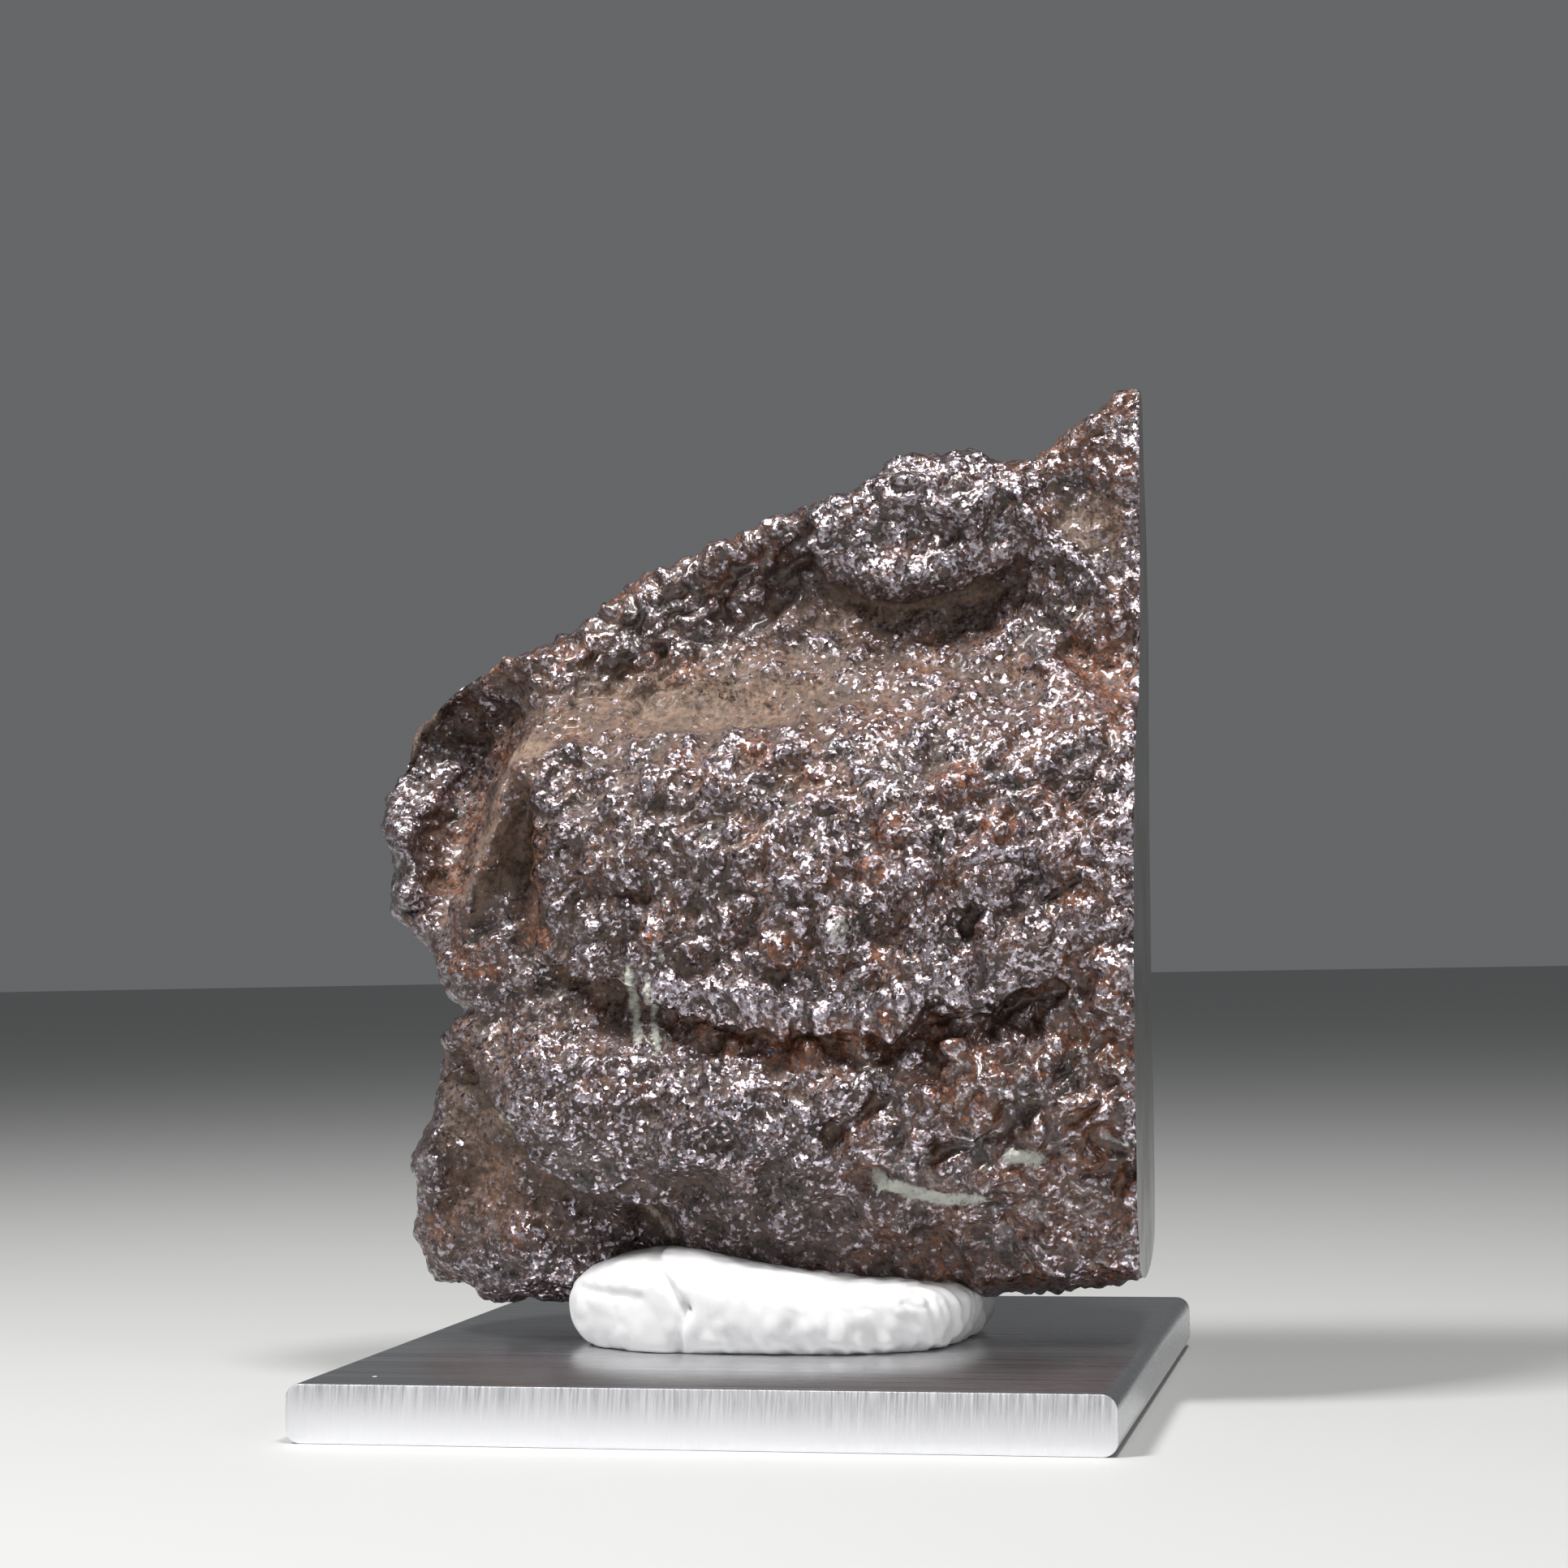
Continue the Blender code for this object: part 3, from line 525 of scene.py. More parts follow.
# What the surface is like from place to place on the front. bumps: how high the
# creased and small lumps are; folds: the furrows; grit: the finest relief. Finish
# from 0 to 1: dust (tan, dull), rust (orange brown), silver (bright grains),
# wet (dark and glossy), pale (grey-white bloom). A few zones and streaks also use
# them for painted light and shade, as marked below.
zones = {
    "dark slope under the top rim": dict(at=(-5.0, 42.6), half=(7.4, 2.2), turn=28,
                                         bumps=0.60, grit=0.05, rust=0.35, silver=0.12, wet=1.0),
    "flap": dict(at=(8.8, 48.2), half=(5.2, 2.8), turn=14,
                 bumps=0.40, grit=0.15, rust=0.25, silver=0.9, wet=0.5),
    "right of the flap": dict(at=(16.4, 46.0), half=(3.0, 3.6), turn=-30,
                              bumps=0.35, grit=0.14, rust=0.25, silver=0.85, wet=0.4),
    "tip": dict(at=(18.9, 51.4), half=(2.4, 2.8), turn=0,
                bumps=0.35, grit=0.12, rust=0.6, silver=0.35, wet=0.6),
    "tan patch by the tip": dict(at=(18.3, 47.4), half=(2.0, 1.2), turn=0,
                                 bumps=0.15, grit=0.10, dust=0.8, rust=0.3, silver=0.2),
    "grey strip under the flap": dict(at=(7.0, 43.8), half=(4.8, 1.1), turn=4,
                                      bumps=0.08, grit=0.06, dust=0.75, pale=0.2, silver=0.25),
    "broad hollow": dict(at=(10.0, 40.8), half=(6.6, 2.9), turn=0,
                         bumps=0.18, grit=0.12, dust=0.25, rust=0.4, silver=0.55, wet=0.1),
    "dusty valley": dict(at=(-4.0, 38.3), half=(6.4, 1.5), turn=0,
                         bumps=0.12, grit=0.12, dust=0.7, rust=0.4, silver=0.2),
    "belly, upper": dict(at=(3.0, 34.2), half=(10.0, 1.9), turn=0,
                         bumps=0.35, grit=0.15, dust=0.25, rust=0.35, silver=0.7, wet=0.2),
    "belly, left": dict(at=(-6.0, 29.5), half=(5.4, 4.6), turn=10,
                        bumps=0.50, grit=0.15, dust=0.2, rust=0.35, silver=0.65, wet=0.35),
    "belly, middle": dict(at=(3.0, 28.0), half=(6.0, 4.8), turn=0,
                          bumps=0.42, grit=0.18, dust=0.15, rust=0.4, silver=0.75, wet=0.2),
    "belly, right": dict(at=(14.0, 29.0), half=(6.4, 6.0), turn=0,
                         bumps=0.50, folds=0.5, grit=0.16, rust=0.45, silver=0.8, wet=0.4),
    "valley by the sawn side": dict(at=(18.9, 38.6), half=(1.7, 2.4), turn=30,
                                    bumps=0.25, grit=0.10, rust=0.9, silver=0.15, wet=0.5),
    # Partly rust, partly painted shade: much rust, few bright grains and a wet gloss darken the band right
    # under the great ledge's overhang
    "under the great ledge": dict(at=(3.0, 19.8), half=(8.0, 0.9), turn=0,
                                  bumps=0.45, grit=0.08, rust=0.85, silver=0.15, wet=0.7),
    "under the great ledge, left": dict(at=(-8.5, 21.4), half=(4.5, 1.3), turn=-16,
                                        bumps=0.20, grit=0.12, dust=0.35, rust=0.2, silver=0.4),
    "lower shelf": dict(at=(-3.5, 16.9), half=(10.5, 2.3), turn=-2,
                        bumps=0.22, grit=0.17, dust=0.15, rust=0.25, silver=0.85, wet=0.1),
    "face under the shelf": dict(at=(-8.0, 13.2), half=(4.4, 1.4), turn=-22,
                                 bumps=0.16, grit=0.16, dust=0.2, silver=0.35, wet=0.15),
    "furrowed corner": dict(at=(13.8, 17.2), half=(6.8, 4.0), turn=0,
                            bumps=0.50, folds=1.0, grit=0.03, rust=0.6, silver=0.15, wet=1.0),
    "grey scoop": dict(at=(-2.0, 10.6), half=(6.0, 2.6), turn=0,
                       bumps=0.12, grit=0.12, dust=0.1, pale=0.15, silver=0.35, wet=0.0),
    "dark foot": dict(at=(13.0, 8.6), half=(8.0, 2.4), turn=0,
                      bumps=0.30, grit=0.10, rust=0.55, silver=0.15, wet=0.4),
    "left fin": dict(at=(-16.2, 16.4), half=(2.0, 3.6), turn=20,
                     bumps=0.05, grit=0.08, dust=0.5, rust=0.2, silver=0.25),
    "black knob": dict(at=(-19.9, 13.3), half=(1.0, 2.1), turn=0, bumps=0.45, grit=0.0, silver=0.1, wet=1.0),
    "lower left": dict(at=(-16.0, 9.4), half=(3.6, 2.8), turn=0,
                       bumps=0.15, grit=0.11, dust=0.3, rust=0.45, silver=0.3),
    "bottom lobe": dict(at=(-13.2, 7.2), half=(2.6, 1.4), turn=-10,
                        bumps=0.25, grit=0.12, silver=0.7, wet=0.3),
    "cavity": dict(at=(-17.0, 33.6), half=(2.0, 5.6), turn=-12,
                   bumps=0.22, grit=0.08, dust=0.15, rust=0.5, silver=0.06, wet=0.3),
    "left rim": dict(at=(-21.3, 31.4), half=(1.0, 4.4), turn=0, bumps=0.35, grit=0.10, silver=0.85, wet=0.6),
    # Painted light: tan dust and no bright grains on the fin's left face stand in for warm light falling on
    # it
    "painted light on the fin's left side": dict(at=(-14.5, 31.2), half=(0.8, 3.4), turn=-22,
                                bumps=0.10, grit=0.06, dust=1.0, rust=0.35, silver=0.0),
    "groove right of the fin": dict(at=(-12.4, 30.4), half=(0.8, 3.4), turn=4,
                                    bumps=0.12, grit=0.04, dust=0.2, rust=0.8, silver=0.1, wet=0.6),
    "slope under the cavity": dict(at=(-16.4, 24.2), half=(4.2, 2.0), turn=-28,
                                   bumps=0.28, grit=0.12, rust=0.5, silver=0.3, wet=0.4),
}
# What holds away from the zones, and how much it counts beside them
plainZone = dict(bumps=0.35, folds=0.0, grit=0.13, dust=0.12, rust=0.4, silver=0.5, wet=0.3, pale=0.0)
plainShare = 0.12
finishNames = ("dust", "rust", "silver", "wet", "pale")

# Streaks along lines: points, half width, what they add. Most are bloom, dust
# and stains; the lips' streaks add worn metal and painted highlight, and the band
# under the flap is painted shadow.
streaks = {
    # Worn metal and painted highlight: more bright grains, and less rust on the ledge, lighten the lips of
    # the great ledge and the flap where light catches them
    "worn lip and painted highlight, great ledge": (((-10.0, 24.6), (-6.2, 23.5), (-1.6, 21.8), (4.0, 21.2), (8.6, 21.6),
                                       (14.0, 23.4)), 0.8, dict(silver=0.6, rust=-0.4)),
    "worn lip and painted highlight, flap": (((3.6, 47.6), (4.6, 46.0), (8.0, 45.0), (12.0, 45.8), (14.6, 47.0)), 0.6,
                               dict(silver=0.5)),
    "bloom above the foot": (((6.2, 12.9), (7.0, 12.0), (8.6, 11.4), (10.4, 11.0), (13.4, 11.2)), 0.35,
                             dict(pale=1.2, silver=-0.4, wet=-1.0)),
    "bloom, right": (((13.4, 13.5), (14.6, 13.4), (16.0, 13.1)), 0.5, dict(pale=0.8, wet=-0.6)),
    "bloom running down, left": (((-6.3, 24.4), (-6.6, 21.6), (-6.0, 18.8)), 0.35,
                                 dict(pale=0.7, silver=-0.2)),
    "bloom running down, right": (((-5.2, 23.8), (-5.4, 20.8), (-4.9, 18.4)), 0.25, dict(pale=0.7)),
    "tan streak": (((-7.0, 10.8), (-5.6, 9.6), (-4.8, 8.8)), 0.3, dict(dust=0.9, pale=0.4)),
    "yellow patch on the left fin": (((-14.6, 15.9), (-13.6, 14.9)), 0.6, dict(dust=0.6, pale=0.5)),
    "tan strip beside the cavity": (((-14.2, 35.2), (-12.4, 35.8), (-10.8, 35.4)), 0.5,
                                    dict(dust=1.0, silver=-0.5)),
    # Painted shadow: fewer bright grains and less dust darken a thin band under the flap's lip, where its
    # overhang throws shade
    "painted shadow under the flap": (((4.6, 45.0), (8.0, 44.0), (11.0, 44.4)), 0.4, dict(silver=-0.9, dust=-0.6)),
}

# Nodules: across, up, radius, height, what they add
rusty = dict(rust=1.0, silver=-0.5, dust=-0.3)
pale = dict(silver=0.6, pale=0.4)
nodules = (
    (-2.3, 20.2, 0.62, 0.9, rusty), (-0.9, 19.4, 0.5, 0.6, rusty), (7.6, 21.0, 0.4, 0.8, rusty),
    (10.0, 20.2, 0.5, 0.6, rusty), (11.4, 18.9, 0.45, 0.5, rusty), (18.2, 13.2, 0.6, 0.6, rusty),
    (3.0, 19.0, 0.9, 0.6, rusty), (5.6, 19.6, 0.8, 0.5, rusty), (5.3, 25.4, 0.95, 0.8, pale),
    (11.6, 33.2, 0.9, 0.6, rusty), (0.6, 35.2, 0.8, 0.4, rusty), (13.9, 30.8, 0.8, 0.4, rusty),
    (8.0, 30.6, 0.9, 0.5, rusty), (-11.4, 25.3, 0.5, 0.4, rusty), (-5.0, 25.4, 0.6, 0.4, rusty),
    (7.0, 28.6, 0.7, 0.4, rusty), (2.4, 24.2, 0.8, 0.4, rusty), (17.8, 26.6, 0.7, 0.4, rusty),
    (-4.6, 24.2, 0.45, 0.5, pale), (-18.9, 38.3, 0.35, 0.5, pale), (-20.9, 36.2, 0.3, 0.7, pale),
    (-21.2, 28.4, 0.4, 0.5, pale), (12.6, 15.6, 0.8, 0.6, rusty), (-14.6, 29.3, 0.35, -0.2, rusty),
)


def zoneValues(across, up, isFront):
    # Each zone's values blended by how near each point is to the zone
    total = np.full(len(across), plainShare)
    values = {name: np.full(len(across), plainShare * value) for name, value in plainZone.items()}
    for zone in zones.values():
        weight = spot(zone["at"], zone["half"], zone["turn"], across, up) * isFront
        total += weight
        for name in plainZone:
            values[name] += weight * zone.get(name, 0.0)
    values = {name: value / total for name, value in values.items()}
    for points, halfWidth, adds in streaks.values():
        gap, _, travel, _, _ = fromLine(points, across, up)
        weight = np.exp(-((gap / halfWidth) ** 2)) * endFade(travel, 0.2) * isFront
        for name, amount in adds.items():
            values[name] += weight * amount
    for a, u, radius, _, adds in nodules:
        weight = np.exp(-(((across - a) ** 2 + (up - u) ** 2) / (radius * 1.1) ** 2) ** 2) * isFront
        for name, amount in adds.items():
            values[name] += weight * amount
    return values


# The crust's relief: spacing and height of each layer
crustRelief = {
    "swells": (3.2, 0.5),
    "lumps": (1.6, 0.34),
    "creased lumps": (1.15, 0.85),  # height times a zone's bumps
    "small lumps": (0.62, 0.35),  # height times a zone's bumps
    "grit": (0.4, 1.0),  # height times a zone's grit
    "furrow stretch": (2.6, 1.2, 2.0),  # along, across and into the furrows
    "furrow turn": (0.8, 0.55),
    "furrow height": 0.6,  # times a zone's folds
    "front blend": 1.5,  # width of the band where the front's zones end
    "smoothing rounds": 8,  # used to find what stands out
    "stands out": 0.5,  # height range that counts as from hollow to crest
}


def addDetail(lattice, points, faceA, faceU, onSaw, isFront):
    normals = normalsOf(lattice, points)
    values = zoneValues(faceA, faceU, isFront)
    seed = np.array((lumpSeed, 3.2, 0.0))
    amounts = {"creased lumps": values["bumps"], "small lumps": values["bumps"], "grit": values["grit"]}
    lift = np.zeros(len(points))
    for name in ("swells", "lumps", "creased lumps", "small lumps", "grit"):
        spacing, height = crustRelief[name]
        pattern = creasesOf if name == "creased lumps" else noiseOf
        lift += amounts.get(name, 1.0) * pattern(points / spacing + seed) * height
    along, aside = crustRelief["furrow turn"]
    furrows = np.column_stack((faceA * along + faceU * aside, faceU * along - faceA * aside, points[:, 1]))
    folded = values["folds"] > tooFaint
    crest = 0.5 - np.abs(noiseOf(furrows / crustRelief["furrow stretch"] + seed, folded)) * 2.2
    lift += values["folds"] * crest * crustRelief["furrow height"]
    for a, u, radius, height, _ in nodules:
        far = ((faceA - a) ** 2 + (faceU - u) ** 2) / radius**2
        lift += height * np.exp(-(far**1.6)) * isFront
    normals[onSaw] = 0.0
    shifted = points + normals * lift[:, None]
    limit = stone["sawn plane"] + stone["sawn lean"] * shifted[:, 2]
    shifted[:, 0] = np.minimum(shifted[:, 0], limit)
    return shifted


def readVectors(items, field):
    flat = np.empty(len(items) * 3)
    items.foreach_get(field, flat)
    return flat.reshape(-1, 3)


def paint(mesh, name, values):
    layer = mesh.attributes.new(name, "FLOAT", "POINT")
    layer.data.foreach_set("value", np.clip(values, 0.0, 1.0).astype(np.float32))


def paintZones(mesh):
    # The finish of each point, and how far the surface stands out there
    placed = readVectors(mesh.vertices, "co") / mm
    cos, sin = math.cos(math.radians(stone["turn"])), math.sin(math.radians(stone["turn"]))
    across = placed[:, 0] * cos + placed[:, 1] * sin
    deep = placed[:, 1] * cos - placed[:, 0] * sin
    up = placed[:, 2]
    rim = smoothCurve(stone["rim by height"], up)
    isFront = np.clip((rim + 0.5 - deep) / crustRelief["front blend"], 0.0, 1.0)
    values = zoneValues(across, up, isFront)
    for name in finishNames:
        paint(mesh, name, values[name])

    edges = np.empty(len(mesh.edges) * 2, np.int32)
    mesh.edges.foreach_get("vertices", edges)
    edges = edges.reshape(-1, 2)
    degree = np.bincount(edges.ravel(), minlength=len(placed))[:, None]
    middle = placed.copy()
    for _ in range(crustRelief["smoothing rounds"]):
        total = np.zeros_like(middle)
        np.add.at(total, edges[:, 0], middle[edges[:, 1]])
        np.add.at(total, edges[:, 1], middle[edges[:, 0]])
        middle = total / degree
    stands = ((placed - middle) * readVectors(mesh.vertices, "normal")).sum(axis=1)
    paint(mesh, "stands out", 0.5 + stands / crustRelief["stands out"])


def markSawEdge(mesh):
    # A hard edge round the sawn side
    lattice = bmesh.new()
    lattice.from_mesh(mesh)
    for edge in lattice.edges:
        slots = {face.material_index for face in edge.link_faces}
        edge.smooth = len(slots) < 2
    lattice.to_mesh(mesh)
    lattice.free()


def thinOut(piece, calm):
    # Fewer faces, taken first from the calm points
    group = piece.vertex_groups.new(name="calm")
    group.add([int(i) for i in calm], 1.0, "REPLACE")
    thin = piece.modifiers.new("thin out", "DECIMATE")
    thin.ratio = stone["triangles"] / (2 * len(piece.data.polygons))
    thin.vertex_group = group.name
    thin.vertex_group_factor = stone["calm thinning"]
    evaluated = piece.evaluated_get(bpy.context.evaluated_depsgraph_get())
    finished = bpy.data.meshes.new_from_object(evaluated)
    piece.modifiers.clear()
    piece.vertex_groups.clear()
    full = piece.data
    piece.data = finished
    finished.name = piece.name
    bpy.data.meshes.remove(full)
    return finished


def buildStone(crust, sawn):
    lattice = blockLattice(stone["cells"])
    box = boxPoints(lattice, stone["cells"])
    points, faceA, faceU, onSaw = stoneForm(box)
    isFront = np.clip(-box[:, 1] * 6.0 + 0.5, 0.0, 1.0)  # 1 in front, with a narrow blend at the rim
    place(lattice, addDetail(lattice, points, faceA, faceU, onSaw, isFront))
    for face in lattice.faces:
        face.material_index = int(all(onSaw[vert.index] for vert in face.verts))
    lattice.transform(Matrix.Rotation(math.radians(stone["turn"]), 4, "Z"))
    mesh = bpy.data.meshes.new("full stone")
    lattice.to_mesh(mesh)
    lattice.free()
    piece = asPiece("ironMeteorite", mesh, crust, sawn)
    finished = thinOut(piece, np.flatnonzero((isFront < 0.5) | onSaw))
    finished.shade_smooth()
    markSawEdge(finished)
    paintZones(finished)
    print("stone:", len(finished.polygons), "faces")
    return piece


# The stone's finish
crustLook = {
    "dark crust": (0.022, 0.012, 0.009),
    "purple crust": (0.085, 0.048, 0.040),
    "deep rust": (0.050, 0.018, 0.008),
    "bright rust": (0.25, 0.085, 0.034),
    "tan dust": (0.26, 0.175, 0.125),
    "brown dust": (0.13, 0.085, 0.06),
    "bloom": (0.50, 0.50, 0.44),
    "worn crust": (0.15, 0.10, 0.095),
    "silver": (0.50, 0.455, 0.51),
    # noise patterns: size, detail, roughness, distortion
    "wide": (3.0, 3.0, 0.6, 0.0),
    "patchy": (1.1, 4.0, 0.65, 0.4),
    "fine": (0.35, 3.0, 0.6, 0.0),
    "finer": (0.16, 2.0, 0.6, 0.0),
    # where each pattern goes from the first colour of a pair to the second
    "crust change": (0.38, 0.66),
    "rust change": (0.4, 0.68),
    "dust change": (0.35, 0.65),
    "worn change": (0.38, 0.58),
    "grit": {"fine": 0.6, "finer": 0.35},
    "grit strength": 0.9,
    "grit depth": 0.16,
    "grain size": 0.21,
    "grain tilt": 0.9,
    "wet grain tilt": 0.45,  # share of the tilt where the crust is wet
    "dry roughness": 0.5,
    "wet roughness": 0.3,
    "matte roughness": 0.8,
    "grain roughness": 0.28,
    "coat roughness": 0.12,
}

# Masks: how much each value counts, what is added, and where the sum goes from 0 to 1
crustMasks = {
    "rust": ({"rust": 0.55, "wide": 1.0, "patchy": 0.25}, -0.62, (0.16, 0.42)),
    "dust": ({"dust": 0.8, "stands out": -0.35, "patchy": 0.4}, 0.315, (0.42, 0.95)),
    "grains": ({"silver": 0.5, "stands out": 0.6, "patchy": 1.5, "dust mask": -0.45, "grain shade": -1.0},
               -0.975, (-0.1, 0.1)),
    "bloom": ({"pale": 0.9, "fine": 1.0}, 0.0, (0.75, 1.1)),
}


def weighted(tree, values, shares, plus=0.0):
    total = plus
    for name, share in shares.items():
        total = calc(tree, "ADD", total, calc(tree, "MULTIPLY", values[name], share))
    return total


def crustMask(tree, values, name):
    shares, plus, (low, high) = crustMasks[name]
    return span(tree, weighted(tree, values, shares, plus), low, high)


def buildCrust():
    material, tree, shader = newMaterial("oiled fusion crust")
    look = crustLook
    where = objectPlace(tree)
    values = {name: painted(tree, name) for name in (*finishNames, "stands out")}
    for name in ("wide", "patchy", "fine", "finer"):
        values[name] = cloud(tree, where, *look[name])

    # Grit of two sizes, and grains that lie less flat where the crust is dry
    bump = bumped(tree, weighted(tree, values, look["grit"]), look["grit strength"], look["grit depth"])
    tilt = calc(tree, "MULTIPLY", span(tree, values["wet"], 0.0, 1.0, 1.0, look["wet grain tilt"]),
                look["grain tilt"])
    grains = grouped(tree, grainGroup, Vector=where, Size=look["grain size"], Tilt=tilt, Normal=bump)
    values["grain shade"] = grains["Shade"]

    # Colours from the dark crust up
    base = mixColour(tree, span(tree, values["patchy"], *look["crust change"]),
                     look["dark crust"], look["purple crust"])
    rustTone = mixColour(tree, span(tree, values["fine"], *look["rust change"]),
                         look["deep rust"], look["bright rust"])
    base = mixColour(tree, crustMask(tree, values, "rust"), base, rustTone)
    dustTone = mixColour(tree, span(tree, values["fine"], *look["dust change"]),
                         look["brown dust"], look["tan dust"])
    dusty = crustMask(tree, values, "dust")
    base = mixColour(tree, dusty, base, dustTone)
    values["dust mask"] = dusty

    # Bright grains, where the crust is worn to metal, and the bloom over all
    bright = crustMask(tree, values, "grains")
    worn = mixColour(tree, span(tree, values["fine"], *look["worn change"]),
                     look["worn crust"], look["silver"])
    base = mixColour(tree, bright, base, worn)
    bloomed = crustMask(tree, values, "bloom")
    base = mixColour(tree, bloomed, base, look["bloom"])
    matte = calc(tree, "MAXIMUM", dusty, bloomed)
    metallic = calc(tree, "MULTIPLY", bright, calc(tree, "SUBTRACT", 1.0, bloomed))
    glossy = mixValue(tree, values["wet"], look["dry roughness"], look["wet roughness"])
    rough = mixValue(tree, matte, glossy, look["matte roughness"])
    rough = mixValue(tree, metallic, rough, look["grain roughness"])
    coat = calc(tree, "MULTIPLY", values["wet"], calc(tree, "SUBTRACT", 1.0, matte), True)
    feed(tree, shader, Base_Color=base, Metallic=metallic, Roughness=rough, Coat_Weight=coat,
         Coat_Roughness=look["coat roughness"], Normal=grains["Normal"])
    return material


sawnLook = {
    "iron": (0.36, 0.355, 0.34),
    "dull patches": (0.24, 0.225, 0.20),
    "patch size": 5.0,
    "patch change": (0.45, 0.7),
    "roughness": (0.2, 0.36),
    "roughness change": (0.5, 0.9),
    "line share": 0.4,  # how much the lines count beside the patches in the roughness
    "line turn": 78,
    "line spacing": 0.12,
    "line length": 14.0,
    "line depth": 0.02,
}


def buildSawnIron():
    material, tree, shader = newMaterial("sawn and ground iron")
    look = sawnLook
    patches = cloud(tree, objectPlace(tree), look["patch size"], 3.0)
    lines = grouped(tree, lineGroup, Vector=objectPlace(tree, look["line turn"]),
                    Spacing=look["line spacing"], Length=look["line length"])["Lines"]
    base = mixColour(tree, span(tree, patches, *look["patch change"]), look["iron"], look["dull patches"])
    uneven = calc(tree, "ADD", patches, calc(tree, "MULTIPLY", lines, look["line share"]))
    rough = mixValue(tree, span(tree, uneven, *look["roughness change"]), *look["roughness"])
    feed(tree, shader, Base_Color=base, Metallic=1.0, Roughness=rough,
         Normal=bumped(tree, lines, 0.5, look["line depth"]))
    return material


# The putty
putty = {
    "middle": (0.2, 0.2),
    "half": (11.3, 9.0),
    "cells": (120, 96, 34),
    "fullness": 3.0,  # 2 is an oval, more is boxier
    "foot spread": 1.6,  # makes the foot wide and flat
    "foot": 3.02,  # height of its underside, just over the plate
    "top by width": (
        (-11.2, 7.8), (-8.0, 8.3), (-4.4, 8.5), (-1.0, 7.9), (3.0, 7.2), (6.4, 6.9), (11.6, 7.1),
    ),
}

# What fingers left in the putty: spacing and height, and the creases
fingerMarks = {
    "hollows": (3.4, 0.35),
    "wrinkles": (1.3, 0.12),
    "fold scale": (1.5, 1.5, 0.35),
    "fold lean": 0.5,
    "fold height": 0.28,
    "folds from": -2.5,  # the folds are to the right of this
    "fold fade": 1.5,
    # start x and z, end x and z, depth
    "creases": ((-5.4, 8.0, -3.3, 5.4, 0.4), (-3.3, 5.4, -3.9, 3.2, 0.3), (-9.6, 6.2, -6.0, 6.0, 0.2)),
    "crease width": 0.3,
    "upward share": 0.3,  # of every mark, so that the top stays flat
}


def pressedLift(points):
    # Soft hollows, upright folds, small wrinkles and creases
    x, y, z = points.T
    hollowSize, hollowHeight = fingerMarks["hollows"]
    wrinkleSize, wrinkleHeight = fingerMarks["wrinkles"]
    scaleX, scaleY, scaleZ = fingerMarks["fold scale"]
    folds = np.column_stack((x * scaleX + z * fingerMarks["fold lean"], y * scaleY, z * scaleZ))
    lift = hollowHeight * noiseOf(points / hollowSize) + wrinkleHeight * creasesOf(points / wrinkleSize)
    folded = 1.0 / (1.0 + np.exp(-(x - fingerMarks["folds from"]) * fingerMarks["fold fade"]))
    lift += fingerMarks["fold height"] * noiseOf(folds) * folded
    for startX, startZ, endX, endZ, depth in fingerMarks["creases"]:
        alongX, alongZ = endX - startX, endZ - startZ
        ahead = (x - startX) * alongX + (z - startZ) * alongZ
        travel = np.clip(ahead / (alongX**2 + alongZ**2), 0.0, 1.0)
        gap = np.hypot(x - startX - travel * alongX, z - startZ - travel * alongZ)
        lift -= depth * np.exp(-((gap / fingerMarks["crease width"]) ** 2)) * (y < 0)
    return lift


def buildPutty(material):
    lattice = blockLattice(putty["cells"])
    box = boxPoints(lattice, putty["cells"])
    out = (np.abs(box) ** putty["fullness"]).sum(axis=1) ** (1.0 / putty["fullness"])
    roundBox = box / out[:, None]
    x = putty["middle"][0] + roundBox[:, 0] * putty["half"][0]
    y = putty["middle"][1] + roundBox[:, 1] * putty["half"][1]
    middle = (putty["foot"] + smoothCurve(putty["top by width"], x)) / 2.0
    spread = np.where(roundBox[:, 2] < 0, putty["foot spread"], 1.0)
    z = middle + roundBox[:, 2] * (middle - putty["foot"]) * spread
    points = np.column_stack((x, y, z))
    points += roundBox * (1.0, 1.0, fingerMarks["upward share"]) * pressedLift(points)[:, None]
    points[:, 2] = np.maximum(points[:, 2], putty["foot"])
    place(lattice, points)
    bmesh.ops.recalc_face_normals(lattice, faces=lattice.faces[:])
    mesh = bpy.data.meshes.new("whitePutty")
    lattice.to_mesh(mesh)
    lattice.free()
    mesh.shade_smooth()
    return asPiece("whitePutty", mesh, material)


puttyLook = {
    "white": (0.78, 0.775, 0.78),
    "dull": (0.66, 0.65, 0.64),
    "patch size": 1.4,
    "bump depth": 0.1,
    "roughness": 0.42,
}


def buildPuttyWhite():
    material, tree, shader = newMaterial("white putty")
    soft = cloud(tree, objectPlace(tree), puttyLook["patch size"], 3.0)
    base = mixColour(tree, soft, puttyLook["white"], puttyLook["dull"])
    feed(tree, shader, Base_Color=base, Roughness=puttyLook["roughness"],
         Normal=bumped(tree, soft, 0.5, puttyLook["bump depth"]))
    return material


# The plate
plate = {
    "side": 42.0,
    "thickness": 3.0,
    "edge radius": 0.78,  # of the two drawn edges
    "sawn edge": 0.07,  # broken edge along the sawn ends
}


